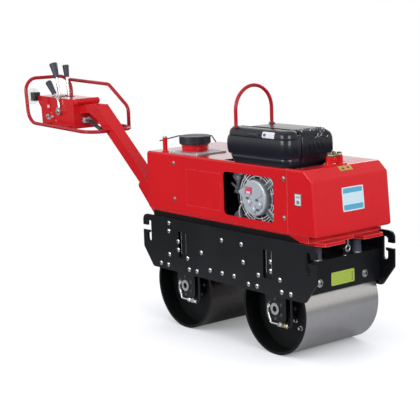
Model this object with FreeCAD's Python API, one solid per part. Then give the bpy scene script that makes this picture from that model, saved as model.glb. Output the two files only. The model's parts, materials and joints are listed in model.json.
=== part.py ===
import FreeCAD, Part
import os
from math import atan2, cos, degrees, pi, radians, sin, tan

# Walk-behind roller with two drums, millimetres.
# +X points away from the operator, +Y to the machine's left, +Z up.
# Places along X are counted from midway between the drums, and heights from
# the tops of the drums. export() moves the parts to the middle of the whole
# length and stands them on the ground.

V = FreeCAD.Vector

# ---------------------------------------------------------------- drums
drum_radius = 200
drum_width = 430
drum_wall = 12
wheelbase = 624
web_inset = 75            # drum end face to the outside of its end web
web_wall = 12
hub_flange_radius = 68
hub_flange_depth = 8
axle_radius = 20
axle_clearance = 0.05
axle_reach = 24           # drum end face to the end of the axle

# ---------------------------------------------------------------- chassis
plate_gap = 9             # drum end face to the side plate
plate_wall = 10
plate_reach = 87          # cross plate to the end of the side plate
plate_top = 112
plate_bottom = -135
plate_corner_radius = 30
plate_slope_height = -45  # where the end edge turns towards the bottom
plate_slope_reach = 72    # how far the bottom edge stops short of the end
plate_foot_radius = 18

hook_slot_width = 28
hook_slot_low = -16
hook_slot_high = 84
hook_lip = 35             # metal left outside the slot
hook_mouth_low = 35
hook_mouth_high = 59
hook_barb = 13
hook_barb_height = 9

pocket_width = 58
pocket_low = -66
pocket_high = 58
pocket_offset = 16        # pocket centre from the drum axis, towards the middle
strip_wall = 4
strip_half_width = 17
strip_rise = 12

cross_tuck = 2            # drum's front to the outside of the cross plate
cross_wall = 8
cross_bottom = -113
shelf_top = 25
shelf_wall = 10
shelf_depth = 120
back_wall_top = 88
floor_wall = 8
exciter_length = 210
exciter_bottom = -100

# ---------------------------------------------------------------- drum hangers
hanger_half_width = 64
hanger_drop = 56          # axle to the hanger's lower edge
hanger_top = -48
hanger_wall = 16
hanger_face_inset = 9     # drum end face to the outside of the hanger plate
hanger_corner = 26
hanger_pad_bottom = -120
bearing_radius = 52
bearing_gap = 6           # bearing housing to the drum's hub flange
hub_cap_radius = 26
hub_cap_hole_radius = 13
hub_cap_depth = 7

pipe_radius = 4.5
pipe_gap = 5              # pipe surface to the hanger plate
pipe_bend = 9
union_radius = 8.5
union_length = 66
union_drop = 62
hose_radius = 6
hose_bend = 16
hose_x = 112              # hose riser from the drum axis
hose_top = -100

# ---------------------------------------------------------------- platform and buffers
buffer_radius = 25
buffer_y = 118
buffer_inset = 38         # cross plate to the buffer's middle
platform_bottom = 100
platform_wall = 14
platform_reach = 75       # cross plate to the platform's end
platform_corner_x = 122
platform_corner_y = 46
platform_notch_half_width = 56
platform_notch_depth = 52
upstand_wall = 6
upstand_inset_x = 34
upstand_inset_y = 8
seat_gap = 0.3

# ---------------------------------------------------------------- hood
hood_half_width = 222
hood_bottom = 142
hood_top = 415
hood_rear_inset = 19      # platform's end to the hood's rear
platform_margin = 6       # hood side to the platform's edge
hood_wall = 4
hood_corner_radius = 16
hood_fold_radius = 8
hood_seam_inset = 170     # platform's end to the hood's seam
hood_seam = 1
hood_front_overhang = 1
hood_brow_back = 21       # hood's foot to its brow
hood_brow_height = 374
hood_top_back = 68        # hood's foot to its top's front edge
hood_flange = 14
hood_front_flange = 64

window_rear = 188         # fan's middle to the window's rear edge
window_front = 143
window_low = 176
window_high = 368
window_radius = 20

opening_rear_gap = 72     # engine cover to the edges of the hood's opening
opening_front_gap = 16
opening_left_gap = 42

# ---------------------------------------------------------------- engine
engine_length = 334
engine_width = 200
engine_seam_gap = 11      # engine to the hood's seam
engine_inset = 62         # hood side to the engine
fan_place = 118           # engine's rear to the fan's middle
fan_z = 266
fan_radius = 132
fan_depth = 24
fan_floor = 8
fan_rim = 6
guard_radii = (92, 104, 116)
guard_wire = 2
guard_wall = 3
guard_bars = 12
starter_radius = 80
starter_depth = 26
starter_edge = 9

cover_rear_overhang = 12
cover_front_overhang = 26
cover_side_overhang = 11  # past the hood's side
cover_join_inset = 3      # engine's right side to the joint of the covers
muffler_joint = 17
cover_left_overhang = 10
cover_bottom = 406
cover_lower_seam = 453
cover_upper_seam = 532
cover_top = 568
cover_bulge = 20
cover_foot_inset = 8
cover_corner_radius = 24
cover_waist_radius = 12
muffler_corner_radius = 16
muffler_undercut_y = 46
muffler_undercut_z = 62
cover_neck_inset = 9
muffler_inset = 5

hoop_inset_x = 34
hoop_inset_y = 121
hoop_half_width = 103
hoop_spring_height = 637
hoop_rod_radius = 8
hoop_socket_depth = 70
hoop_clearance = 0.3

# ---------------------------------------------------------------- filler on the rear deck
filler_inset_x = 231      # hood's rear to the filler's middle
filler_inset_y = 114
filler_plate_offset = 20
filler_plate_length = 204
filler_plate_width = 176
filler_plate_wall = 5
neck_radius = 62
neck_height = 34
cap_radius = 72
cap_height = 38
cap_edge = 4
groove_width = 8
groove_depth = 5

post_reach = 113          # filler's middle back to the post
post_inset = 25
post_radius = 11
post_height = 68
post_foot_radius = 15
post_foot_height = 7
bar_radius = 3
bar_clearance = 0.4
bar_tail = 26
bar_height_at_post = 60
bar_drop = 30
bar_nose = 20

# ---------------------------------------------------------------- couplings on the front top
coupling_inset = 26       # front edge of the hood's top to the couplings
coupling_y = (-50, 8)
coupling_radius = 15
coupling_height = 33
coupling_plate_half_length = 20
coupling_plate_margin = 26
coupling_plate_wall = 5
coupling_stem_radius = 9
coupling_stem_height = 16

# ---------------------------------------------------------------- drawbar
pivot_reach = 130         # cross plate back to the pivot
pivot_z = 26
drawbar_angle = 40
beam_side = 60
beam_wall = 5
beam_tail = 38
beam_head_height = 582
pin_radius = 12
pin_clearance = 0.1
pin_head_radius = 19
pin_head_height = 8
ear_gap = 5
ear_wall = 8
ear_reach = 306
ear_rise = 6              # ear's upper edge above the beam
ear_drop = 38
ear_heel = 60
washer_radius = 26
washer_gap = 0.3
foot_half_width = 90
foot_wall = 12
foot_low = -104
foot_high = 14
stop_reach = 84
stop_wall = 8
stop_gap = 0.5

neck_wall = 6
neck_reach = 776          # these reaches are counted back from the pivot
neck_low = 526            # cheek plates' lower edge at the console
neck_foot = 456
neck_drop = 5             # cheek plates below the console's cross tube
neck_crown = 538
neck_crown_reach = 84
neck_waist = 508

console_half_width = 75
console_reach = 1131
console_step = 34
console_step_height = 575
console_low = 449
console_high = 613
console_wall = 4
roll_radius = 17
roll_height = 593

tube_radius = 9.5
loop_half_width = 146
loop_front_reach = 525
loop_front_z = 451
loop_rear_low_reach = 1122
loop_rear_low_z = 472
loop_rear_high_reach = 1146
loop_rear_high_z = 709
loop_front_bend = 85
loop_low_bend = 78
loop_high_bend = 72
rail_foot_reach = 586
rail_knee_z = 558
rail_shoulder_reach = 762
rail_shoulder_z = 673
rail_rear_z = 686
rail_bend = 50
tab_reach = (1020, 820)
tab_length = 34
tab_wall = 6

lever_radius = 7
grip_clearance = 0.05
grip_length = (82, 67, 82)
grip_low_radius = 13
grip_high_radius = (23, 18, 18)
boss_radius = 21
boss_depth = 22
boss_rod_radius = 9
side_lever_reach = 899
side_lever_z = 540
side_lever_rise = 92
side_lever_back = 44
top_lever_reach = (972, 965)
top_lever_y = (-38, 18)
top_lever_rise = 100
top_lever_back = (16, 9)
grip_lean = (30, 8, 56)       # how far each grip's top leans back

stop_block_y = -80
stop_block_z = 607
stop_block_length = 42
stop_block_width = 36
stop_block_height = 46
stop_plate_radius = 44
stop_plate_wall = 8
stop_stem_radius = 9
stop_stem_length = 6

cable_radius = 5
cable_y = (-16, 2)
cable_start_z = 493
cable_entry = 748           # distance up the beam
cable_sag = 46

# ---------------------------------------------------------------- derived places
drum_half = drum_width / 2
plate_in = drum_half + plate_gap
plate_out = plate_in + plate_wall
hanger_out = drum_half - hanger_face_inset
beam_half = beam_side / 2
axle_z = -drum_radius
hanger_bottom = axle_z - hanger_drop
axle_x = {"front": wheelbase / 2, "rear": -wheelbase / 2}
sides = {"right": -1, "left": 1}
cross_face = wheelbase / 2 + drum_radius - cross_tuck
plate_half_length = cross_face + plate_reach
buffer_x = cross_face - buffer_inset
platform_half_length = cross_face + platform_reach
platform_half_width = hood_half_width - platform_margin
platform_top = platform_bottom + platform_wall
hood_rear = hood_rear_inset - platform_half_length
hood_seam_x = platform_half_length - hood_seam_inset
hood_front_foot = platform_half_length + hood_front_overhang
hood_front_brow = hood_front_foot - hood_brow_back
hood_front_top = hood_front_foot - hood_top_back
engine_high_x = hood_seam_x - engine_seam_gap
engine_low_x = engine_high_x - engine_length
engine_right_y = engine_inset - hood_half_width
engine_left_y = engine_right_y + engine_width
fan_x = engine_low_x + fan_place
window_low_x = fan_x - window_rear
window_high_x = fan_x + window_front
cover_low_x = engine_low_x - cover_rear_overhang
cover_high_x = engine_high_x + cover_front_overhang
cover_right_y = -hood_half_width - cover_side_overhang
cover_join_y = engine_right_y + cover_join_inset
muffler_right_y = cover_join_y + muffler_joint
cover_left_y = engine_left_y + cover_left_overhang
opening_low_x = cover_low_x - opening_rear_gap
opening_high_x = cover_high_x + opening_front_gap
opening_left_y = cover_left_y + opening_left_gap
hoop_x = cover_low_x + hoop_inset_x
hoop_y = cover_right_y + hoop_inset_y
filler_x = hood_rear + filler_inset_x
filler_y = filler_inset_y - hood_half_width
filler_plate_x = filler_x + filler_plate_offset
post_x = filler_x - post_reach
post_y = post_inset - hood_half_width
coupling_x = hood_front_top - coupling_inset
cap_low = hood_top + filler_plate_wall + neck_height
cap_top = cap_low + cap_height
fan_face = engine_right_y - fan_depth
pivot_x = -cross_face - pivot_reach
neck_rear_x = pivot_x - neck_reach
console_rear_x = pivot_x - console_reach
loop_front_x = pivot_x - loop_front_reach
loop_rear_low_x = pivot_x - loop_rear_low_reach
loop_rear_high_x = pivot_x - loop_rear_high_reach
rail_foot_x = pivot_x - rail_foot_reach
rail_shoulder_x = pivot_x - rail_shoulder_reach
tab_x = [pivot_x - reach for reach in tab_reach]
side_lever_x = pivot_x - side_lever_reach
top_lever_x = [pivot_x - reach for reach in top_lever_reach]
stop_plate_x = console_rear_x - stop_block_length - stop_stem_length
rear_end_x = stop_plate_x - stop_plate_wall
neck_high = roll_height - roll_radius - neck_drop
origin_x = (plate_half_length + rear_end_x) / 2


# ---------------------------------------------------------------- shape helpers
def box(x0, x1, y0, y1, z0, z1):
    return Part.makeBox(x1 - x0, y1 - y0, z1 - z0, V(x0, y0, z0))


def rounded_slab(x0, x1, z0, z1, y0, y1, radius):
    return slab([(x0, z0), (x1, z0), (x1, z1), (x0, z1)], y0, y1, [radius] * 4)


def between(side, near, far, x0, x1, z0, z1):
    """A box on one side of the machine, from |y| = near to |y| = far."""
    ends = sorted((side * near, side * far))
    return box(x0, x1, ends[0], ends[1], z0, z1)


def rod(start, end, radius):
    path = end - start
    return Part.makeCylinder(radius, path.Length, start, path)


def joined(shapes):
    shapes = list(shapes)
    whole = shapes[0].fuse(shapes[1:]) if len(shapes) > 1 else shapes[0]
    return whole.removeSplitter()


def outline(points, radii):
    """A closed wire through (a, b) points in the XZ plane, corners rounded."""
    count = len(points)
    corners = []
    for i, point in enumerate(points):
        here = V(point[0], 0, point[1])
        before = V(points[i - 1][0], 0, points[i - 1][1])
        after = V(points[(i + 1) % count][0], 0, points[(i + 1) % count][1])
        radius = radii[i]
        if not radius:
            corners.append((here, None, here))
            continue
        arm_in = (before - here).normalize()
        arm_out = (after - here).normalize()
        half = arm_in.getAngle(arm_out) / 2
        cut = radius / tan(half)
        centre = here + (arm_in + arm_out).normalize() * (radius / sin(half))
        middle = centre + (here - centre).normalize() * radius
        corners.append((here + arm_in * cut, middle, here + arm_out * cut))
    edges = []
    for i, (start, middle, end) in enumerate(corners):
        if middle is not None:
            edges.append(Part.Arc(start, middle, end).toShape())
        following = corners[(i + 1) % count][0]
        if (following - end).Length > 1e-6:
            edges.append(Part.LineSegment(end, following).toShape())
    return Part.Wire(edges)


def slab(points, y0, y1, radii=None):
    """The XZ outline carried from y0 to y1."""
    face = Part.Face(outline(points, radii or [0] * len(points)))
    face.translate(V(0, y0, 0))
    return face.extrude(V(0, y1 - y0, 0))


def rounded_box(x0, x1, y0, y1, z0, z1, radius, top_radius=0):
    """A box with rounded upright corners and, if wanted, a rounded top edge."""
    block = box(x0, x1, y0, y1, z0, z1)
    upright = [e for e in block.Edges if abs(e.tangentAt(e.FirstParameter).z) > 0.99]
    block = block.makeFillet(radius, upright)
    if top_radius:
        top = [e for e in block.Edges if min(v.Z for v in e.Vertexes) > z1 - 0.01]
        block = block.makeFillet(top_radius, top)
    return block


def tube(points, radius, bends, closed=False):
    """A round tube along straight runs, with a bend of its own at each corner."""
    count = len(points)
    corners = []
    for i, here in enumerate(points):
        if not closed and i in (0, count - 1):
            corners.append((here, None, None, 0, here))
            continue
        arm_in = (points[i - 1] - here).normalize()
        arm_out = (points[(i + 1) % count] - here).normalize()
        between_arms = arm_in.getAngle(arm_out)
        cut = bends[i] / tan(between_arms / 2)
        centre = here + (arm_in + arm_out).normalize() * (bends[i] / sin(between_arms / 2))
        axis = (arm_in * -1).cross(arm_out).normalize()
        corners.append((here + arm_in * cut, centre, axis, pi - between_arms, here + arm_out * cut))
    pieces = []
    for i, (start, centre, axis, turn, end) in enumerate(corners):
        if centre is not None:
            heading = (points[i] - start).normalize()
            ring = Part.Wire(Part.makeCircle(radius, start, heading))
            pieces.append(Part.Face(ring).revolve(centre, axis, degrees(turn)))
        if closed or i < count - 1:
            pieces.append(rod(end, corners[(i + 1) % count][0], radius))
    return joined(pieces)


def export(name, shapes):
    if not isinstance(shapes, list):
        shapes = [shapes]
    placed = []
    for shape in shapes:
        for solid in shape.Solids:
            copy = solid.copy()
            copy.translate(V(-origin_x, 0, 2 * drum_radius))
            placed.append(copy)
    whole = placed[0] if len(placed) == 1 else Part.makeCompound(placed)
    whole.exportStep("parts/" + name + ".step")
    print(name, len(placed), "valid" if whole.isValid() else "NOT VALID", round(whole.Volume / 1000))


# ---------------------------------------------------------------- drums and axles
def drum(x):
    centre = V(x, -drum_half, axle_z)
    shell = Part.makeCylinder(drum_radius, drum_width, centre, V(0, 1, 0))
    shell = shell.cut(Part.makeCylinder(drum_radius - drum_wall, drum_width, centre, V(0, 1, 0)))
    pieces = [shell]
    for side in sides.values():
        web_out = drum_half - web_inset
        outward = V(0, side, 0)
        web_start = V(x, side * (web_out - web_wall), axle_z)
        flange_start = V(x, side * web_out, axle_z)
        pieces.append(Part.makeCylinder(drum_radius - drum_wall, web_wall, web_start, outward))
        pieces.append(Part.makeCylinder(hub_flange_radius, hub_flange_depth, flange_start, outward))
    body = joined(pieces)
    bore = Part.makeCylinder(axle_radius + axle_clearance, drum_width, centre, V(0, 1, 0))
    return body.cut(bore)


def axle(x):
    reach = drum_half - axle_reach
    return rod(V(x, -reach, axle_z), V(x, reach, axle_z), axle_radius)


def hanger(x, side):
    """Plate that hangs from the side plate, with the bearing housing behind it."""
    y0, y1 = sorted((side * (hanger_out - hanger_wall), side * hanger_out))
    w = hanger_half_width
    plate = slab([(x - w, hanger_bottom), (x + w, hanger_bottom), (x + w, hanger_top), (x - w, hanger_top)],
                 y0, y1, [hanger_corner, hanger_corner, 8, 8])
    pad = between(side, hanger_out, plate_in, x - w, x + w, hanger_pad_bottom, hanger_top)
    inner = side * (hanger_out - hanger_wall)
    bearing_end = side * (drum_half - web_inset + hub_flange_depth + bearing_gap)
    housing = rod(V(x, inner, axle_z), V(x, bearing_end, axle_z), bearing_radius)
    bore = rod(V(x, side * (hanger_out + 1), axle_z), V(x, bearing_end - side, axle_z),
               axle_radius + axle_clearance)
    return joined([plate, pad, housing]).cut(bore)


def hub_cap(x, side):
    start = V(x, side * hanger_out, axle_z)
    end = V(x, side * (hanger_out + hub_cap_depth), axle_z)
    return rod(start, end, hub_cap_radius).cut(rod(start, end, hub_cap_hole_radius))


def hub_pipe(x):
    """Steel pipe on the right that curls from the hub flange to a union beside it."""
    y = -(hanger_out + pipe_gap + pipe_radius)
    low = axle_z - union_drop
    points = [V(x - 39, -hanger_out, axle_z + 8), V(x - 39, y, axle_z + 8),
              V(x - 39, y, axle_z - 20), V(x - 22, y, low), V(x + 26, y, low)]
    pipe = tube(points, pipe_radius, [0, 5, pipe_bend, pipe_bend, 0])
    union = rod(points[-1], points[-1] + V(union_length, 0, 0), union_radius)
    return joined([pipe, union])


def hub_hose(x):
    """Hose from the union up to the inside of the right side plate."""
    y = -(hanger_out + pipe_gap + pipe_radius)
    low = axle_z - union_drop
    points = [V(x + 26 + union_length, y, low), V(x + hose_x, y, low), V(x + hose_x, y, hose_top)]
    hose = tube(points, hose_radius, [0, hose_bend, 0])
    block = box(x + hose_x - 11, x + hose_x + 11, -plate_in, y + hose_radius, hose_top, hose_top + 22)
    return joined([hose, block])


# ---------------------------------------------------------------- chassis
def hook_cut(end, y0, y1):
    """Slot and mouth of one lashing hook; end is +1 at the front and -1 at the rear."""
    slot_out = plate_half_length - hook_lip
    slot_in = slot_out - hook_slot_width
    r = hook_slot_width / 2
    past = plate_half_length + 5
    slot = slab([(end * slot_in, hook_slot_low), (end * slot_out, hook_slot_low),
                 (end * slot_out, hook_slot_high), (end * slot_in, hook_slot_high)],
                y0, y1, [r - 0.5, r - 0.5, r - 0.5, 4])
    x0, x1 = sorted((end * (slot_out - r), end * past))
    mouth = box(x0, x1, y0, y1, hook_mouth_low, hook_mouth_high)
    low = hook_mouth_low - hook_barb_height
    barb = slab([(end * (slot_out - hook_barb), low), (end * slot_out, low - 6),
                 (end * slot_out, hook_mouth_low), (end * (slot_out - hook_barb), hook_mouth_low)], y0, y1)
    return slot.fuse(mouth).cut(barb)


def side_plate(side):
    low_x = plate_half_length - plate_slope_reach
    front = [(low_x, plate_bottom), (plate_half_length, plate_slope_height), (plate_half_length, plate_top)]
    rear = [(-x, z) for x, z in reversed(front)]
    radii = [plate_foot_radius, plate_foot_radius, plate_corner_radius]
    y0, y1 = sorted((side * plate_in, side * plate_out))
    plate = slab(front + rear, y0, y1, radii + radii[::-1])
    strips = []
    for end in (-1, 1):
        plate = plate.cut(hook_cut(end, y0 - 1, y1 + 1))
        middle = end * (wheelbase / 2 - pocket_offset)
        a, b = middle - pocket_width / 2, middle + pocket_width / 2
        plate = plate.cut(slab([(a, pocket_low), (b, pocket_low), (b, pocket_high), (a, pocket_high)],
                               y0 - 1, y1 + 1, [5] * 4))
        strips.append(between(side, plate_in - strip_wall, plate_in, middle - strip_half_width,
                              middle + strip_half_width, hanger_top, pocket_high + strip_rise))
    return joined([plate] + strips)


def crossmember(end):
    """Lower cross plate, the shelf for the buffers and the wall behind them."""
    face = end * cross_face
    shelf_in = end * (cross_face - shelf_depth)
    x0, x1 = sorted((face, face - end * cross_wall))
    plate = box(x0, x1, -plate_in, plate_in, cross_bottom, shelf_top - shelf_wall)
    x0, x1 = sorted((face, shelf_in))
    shelf = box(x0, x1, -plate_in, plate_in, shelf_top - shelf_wall, shelf_top)
    x0, x1 = sorted((shelf_in, shelf_in + end * cross_wall))
    wall = box(x0, x1, -plate_in, plate_in, shelf_top, back_wall_top)
    return joined([plate, shelf, wall])


def frame_floor():
    half = cross_face - shelf_depth
    reach = plate_in - strip_wall - 1
    return box(-half, half, -reach, reach, shelf_top - floor_wall, shelf_top)


def exciter():
    """Housing of the vibrating shaft, across the middle of the chassis."""
    half = exciter_length / 2
    top = shelf_top - floor_wall
    low = exciter_bottom
    return slab([(-half, low + 40), (-half + 40, low), (half - 40, low), (half, low + 40), (half, top),
                 (-half, top)], -plate_in, plate_in, [12, 12, 12, 12, 0, 0])


# ---------------------------------------------------------------- buffers and platform
def buffers():
    height = platform_bottom - shelf_top
    places = [V(a * buffer_x, b * buffer_y, shelf_top) for a in (-1, 1) for b in (-1, 1)]
    return [Part.makeCylinder(buffer_radius, height, place) for place in places]


def platform():
    x = platform_half_length
    y = platform_half_width
    notch = x - platform_notch_depth
    quarter = [(notch, platform_notch_half_width - 12), (x, platform_notch_half_width),
               (x, y - platform_corner_y), (x - platform_corner_x, y)]
    half = quarter + [(-a, b) for a, b in reversed(quarter)]
    rim = half + [(-a, -b) for a, b in half]
    wire = Part.makePolygon([V(a, b, platform_bottom) for a, b in rim + rim[:1]])
    plate = Part.Face(wire).extrude(V(0, 0, platform_wall))
    ux = -hood_rear - upstand_inset_x
    uy = hood_half_width - upstand_inset_y
    w = upstand_wall
    outer = box(-ux, ux, -uy, uy, platform_top, hood_bottom)
    inner = box(-ux + w, ux - w, -uy + w, uy - w, platform_top, hood_bottom)
    return joined([plate, outer.cut(inner)])


# ---------------------------------------------------------------- hood
def hood_block(inset):
    """The hood's outside, or its inside when inset by the sheet's thickness."""
    profile = [(hood_rear, hood_bottom), (hood_front_foot, hood_bottom), (hood_front_brow, hood_brow_height),
               (hood_front_top, hood_top), (hood_rear, hood_top)]
    r = hood_corner_radius
    face = Part.Face(outline(profile, [r, 10, 12, 14, r]))
    if inset:
        face = face.makeOffset2D(-inset)
    half = hood_half_width - inset
    face.translate(V(0, -half, 0))
    block = face.extrude(V(0, 2 * half, 0))
    rims = [e for e in block.Edges if all(abs(abs(v.Y) - half) < 0.01 for v in e.Vertexes)]
    rims = [e for e in rims if abs(e.Vertexes[0].Y - e.Vertexes[-1].Y) < 1]
    return block.makeFillet(hood_fold_radius - inset, rims)


def hood_sheet():
    """The whole hood as one folded sheet, open below, with the hole for the engine's cover."""
    shell = hood_block(0).cut(hood_block(hood_wall))
    rim = hood_half_width - hood_flange
    below = box(hood_rear + 26, hood_front_foot - hood_front_flange, -rim, rim,
                hood_bottom - 1, hood_bottom + hood_wall + 1)
    above = box(opening_low_x, opening_high_x, -rim, opening_left_y, hood_top - hood_wall - 1, hood_top + 1)
    return shell.cut(below).cut(above)


def hood_parts():
    sheet = hood_sheet()
    far = hood_front_foot + 100
    low, high = hood_bottom - 10, hood_top + 10
    rim = hood_half_width - hood_flange
    back = hood_seam_x - hood_seam / 2
    front = sheet.common(box(hood_seam_x + hood_seam / 2, far, -far, far, low, high))
    deck = sheet.common(box(-far, back, -rim + hood_seam / 2, rim - hood_seam / 2, low, high))
    right = sheet.common(box(-far, back, -far, -rim - hood_seam / 2, low, high))
    left = sheet.common(box(-far, back, rim + hood_seam / 2, far, low, high))
    window = slab([(window_low_x, window_low), (window_high_x, window_low), (window_high_x, window_high),
                   (window_low_x, window_high)], -hood_half_width - 1, -hood_half_width + hood_wall + 1,
                  [window_radius] * 4)
    return {"hood_front": front, "hood_deck": deck, "hood_side_right": right.cut(window),
            "hood_side_left": left}


# ---------------------------------------------------------------- engine
def engine_block():
    return rounded_box(engine_low_x, engine_high_x, engine_right_y, engine_left_y,
                       platform_top, cover_bottom, 12)


def fan_housing():
    """Round housing of the cooling fan with the wire guard in front of it."""
    ring = Part.makeCylinder(fan_radius, fan_depth, V(fan_x, engine_right_y, fan_z), V(0, -1, 0))
    recess = Part.makeCylinder(fan_radius - fan_rim, fan_depth - fan_floor,
                               V(fan_x, fan_face, fan_z), V(0, 1, 0))
    pieces = [ring.cut(recess)]
    middle = V(fan_x, fan_face + guard_wall, fan_z)
    for radius in guard_radii:
        outer = Part.makeCylinder(radius + guard_wire, guard_wall, middle, V(0, -1, 0))
        pieces.append(outer.cut(Part.makeCylinder(radius - guard_wire, guard_wall, middle, V(0, -1, 0))))
    for i in range(guard_bars):
        bar = box(fan_x + starter_radius + 3, fan_x + fan_radius - 1, fan_face, fan_face + guard_wall,
                  fan_z - guard_wire, fan_z + guard_wire)
        bar.rotate(V(fan_x, 0, fan_z), V(0, 1, 0), 360 * (i + 0.5) / guard_bars)
        pieces.append(bar)
    return joined(pieces)


def starter():
    """Recoil starter: a cup with a rounded rim and three raised ribs on its face."""
    depth = fan_depth - fan_floor + starter_depth
    cup = Part.makeCylinder(starter_radius, depth, V(fan_x, engine_right_y - fan_floor, fan_z), V(0, -1, 0))
    face_y = engine_right_y - fan_floor - depth
    rims = [e for e in cup.Edges if e.Closed and abs(e.Vertexes[0].Y - face_y) < 0.01]
    cup = cup.makeFillet(starter_edge, rims)
    ribs = []
    for i in range(3):
        rib = rounded_slab(starter_radius * 0.3, starter_radius * 0.78, -14, 14, face_y - 3, face_y, 10)
        rib.translate(V(fan_x, 0, fan_z))
        rib.rotate(V(fan_x, 0, fan_z), V(0, 1, 0), 90 + 120 * i)
        ribs.append(rib)
    return joined([cup] + ribs)


def hoop_legs():
    return [V(hoop_x, hoop_y + s * hoop_half_width, cover_top - hoop_socket_depth) for s in (-1, 1)]


def with_sockets(cover):
    for leg in hoop_legs():
        cover = cover.cut(Part.makeCylinder(hoop_rod_radius + hoop_clearance, hoop_socket_depth + 50, leg))
    return cover


def engine_cover():
    r = cover_corner_radius
    x0, x1 = cover_low_x, cover_high_x
    y0, y1 = cover_right_y, cover_join_y
    sill = hood_top + seat_gap
    foot = rounded_box(x0 + cover_foot_inset, x1 - 3, y0 + 4, y1, sill, cover_lower_seam, r)
    rim = hood_half_width - hood_flange
    plug = box(x0 + cover_neck_inset + 20, x1 - 20, seat_gap * 10 - rim, y1, cover_bottom, sill + 1)
    waist = rounded_box(x0 - cover_bulge, x1, y0, y1, cover_lower_seam, cover_upper_seam, cover_waist_radius)
    crown = rounded_box(x0, x1 - 2, y0 + 1, y1, cover_upper_seam, cover_top, r, 16)
    neck = box(x0 + cover_neck_inset + 20, x1 - cover_neck_inset, y1 - 40, muffler_right_y,
               cover_bottom, cover_top - cover_neck_inset - 10)
    return with_sockets(joined([foot, waist, crown, neck, plug]))


def muffler_cover():
    body = rounded_box(cover_low_x + 4, cover_high_x - muffler_inset, muffler_right_y, cover_left_y,
                       cover_bottom, cover_top - 3, muffler_corner_radius, 14)
    y1 = cover_left_y + 1
    corner = slab([(y1 - muffler_undercut_y, cover_bottom - 1), (y1, cover_bottom - 1),
                   (y1, cover_bottom + muffler_undercut_z)], -cover_high_x, -cover_low_x)
    corner.rotate(V(0, 0, 0), V(0, 0, 1), 90)
    return with_sockets(body.cut(corner))


def lifting_hoop():
    near, far = hoop_legs()
    shoulder_near = V(near.x, near.y, hoop_spring_height)
    shoulder_far = V(far.x, far.y, hoop_spring_height)
    middle = V(hoop_x, hoop_y, hoop_spring_height)
    ring = Part.Wire(Part.makeCircle(hoop_rod_radius, shoulder_near, V(0, 0, 1)))
    bow = Part.Face(ring).revolve(middle, V(-1, 0, 0), 180)
    return joined([rod(near, shoulder_near, hoop_rod_radius), bow, rod(far, shoulder_far, hoop_rod_radius)])


# ---------------------------------------------------------------- filler and couplings
def filler_plate():
    return rounded_box(filler_plate_x - filler_plate_length / 2, filler_plate_x + filler_plate_length / 2,
                       filler_y - filler_plate_width / 2, filler_y + filler_plate_width / 2,
                       hood_top, hood_top + filler_plate_wall, 6)


def filler_neck():
    return Part.makeCylinder(neck_radius, neck_height, V(filler_x, filler_y, hood_top + filler_plate_wall))


def filler_cap():
    """Round cap with a groove across its top for the lock bar."""
    cap = Part.makeCylinder(cap_radius, cap_height, V(filler_x, filler_y, cap_low))
    cap = cap.makeFillet(cap_edge, [e for e in cap.Edges if e.Closed])
    near, far = bar_line()[1:3]
    w = groove_width / 2
    groove = box(-cap_radius - 9, cap_radius + 9, -w, w, cap_top - groove_depth, cap_top + 9)
    groove.rotate(V(0, 0, 0), V(0, 0, 1), degrees(atan2(far.y - near.y, far.x - near.x)))
    groove.translate(V(filler_x, filler_y, 0))
    return cap.cut(groove)


def bar_line():
    """Points of the lock bar: past the post, over the cap and down behind it."""
    post = V(post_x, post_y, 0)
    cap = V(filler_x, filler_y, 0)
    heading = (cap - post).normalize()
    over = cap_top - groove_depth + bar_radius + seat_gap
    start = post + heading * -bar_tail + V(0, 0, hood_top + bar_height_at_post - 8)
    near = cap + heading * (-4 - cap_radius) + V(0, 0, over)
    far = cap + heading * (cap_radius + 8) + V(0, 0, over)
    nose = far + heading * bar_nose + V(0, 0, -bar_drop)
    return [start, near, far, nose]


def lock_bar():
    return tube(bar_line(), bar_radius, [0, 10, 8, 0])


def lock_post():
    base = V(post_x, post_y, hood_top)
    post = Part.makeCylinder(post_radius, post_height, base)
    foot = Part.makeCylinder(post_foot_radius, post_foot_height, base)
    start, near = bar_line()[:2]
    path = near - start
    hole = Part.makeCylinder(bar_radius + bar_clearance, path.Length, start - path * 0.2, path)
    return joined([post, foot]).cut(hole)


def couplings():
    low, high = coupling_y
    h = coupling_plate_half_length
    m = coupling_plate_margin
    top = hood_top + coupling_plate_wall
    plate = box(coupling_x - h, coupling_x + h, low - m, high + m, hood_top, top)
    bodies = [Part.makeCylinder(coupling_radius, coupling_height, V(coupling_x, y, top)) for y in coupling_y]
    return joined([plate] + bodies)


def coupling_stems():
    top = hood_top + coupling_plate_wall + coupling_height
    return [Part.makeCylinder(coupling_stem_radius, coupling_stem_height, V(coupling_x, y, top))
            for y in coupling_y]


# ---------------------------------------------------------------- drawbar
def along(u, v):
    """(x, z) of a point u up the drawbar from its pivot and v above its axis."""
    c = cos(radians(drawbar_angle))
    s = sin(radians(drawbar_angle))
    return (pivot_x - c * u + s * v, pivot_z + s * u + c * v)


def beam_x_at(z, v):
    """x of the line v above the drawbar's axis, at height z."""
    u = (z - pivot_z - cos(radians(drawbar_angle)) * v) / sin(radians(drawbar_angle))
    return along(u, v)[0]


def pivot_rod(y0, y1, radius):
    return rod(V(pivot_x, y0, pivot_z), V(pivot_x, y1, pivot_z), radius)


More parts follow.
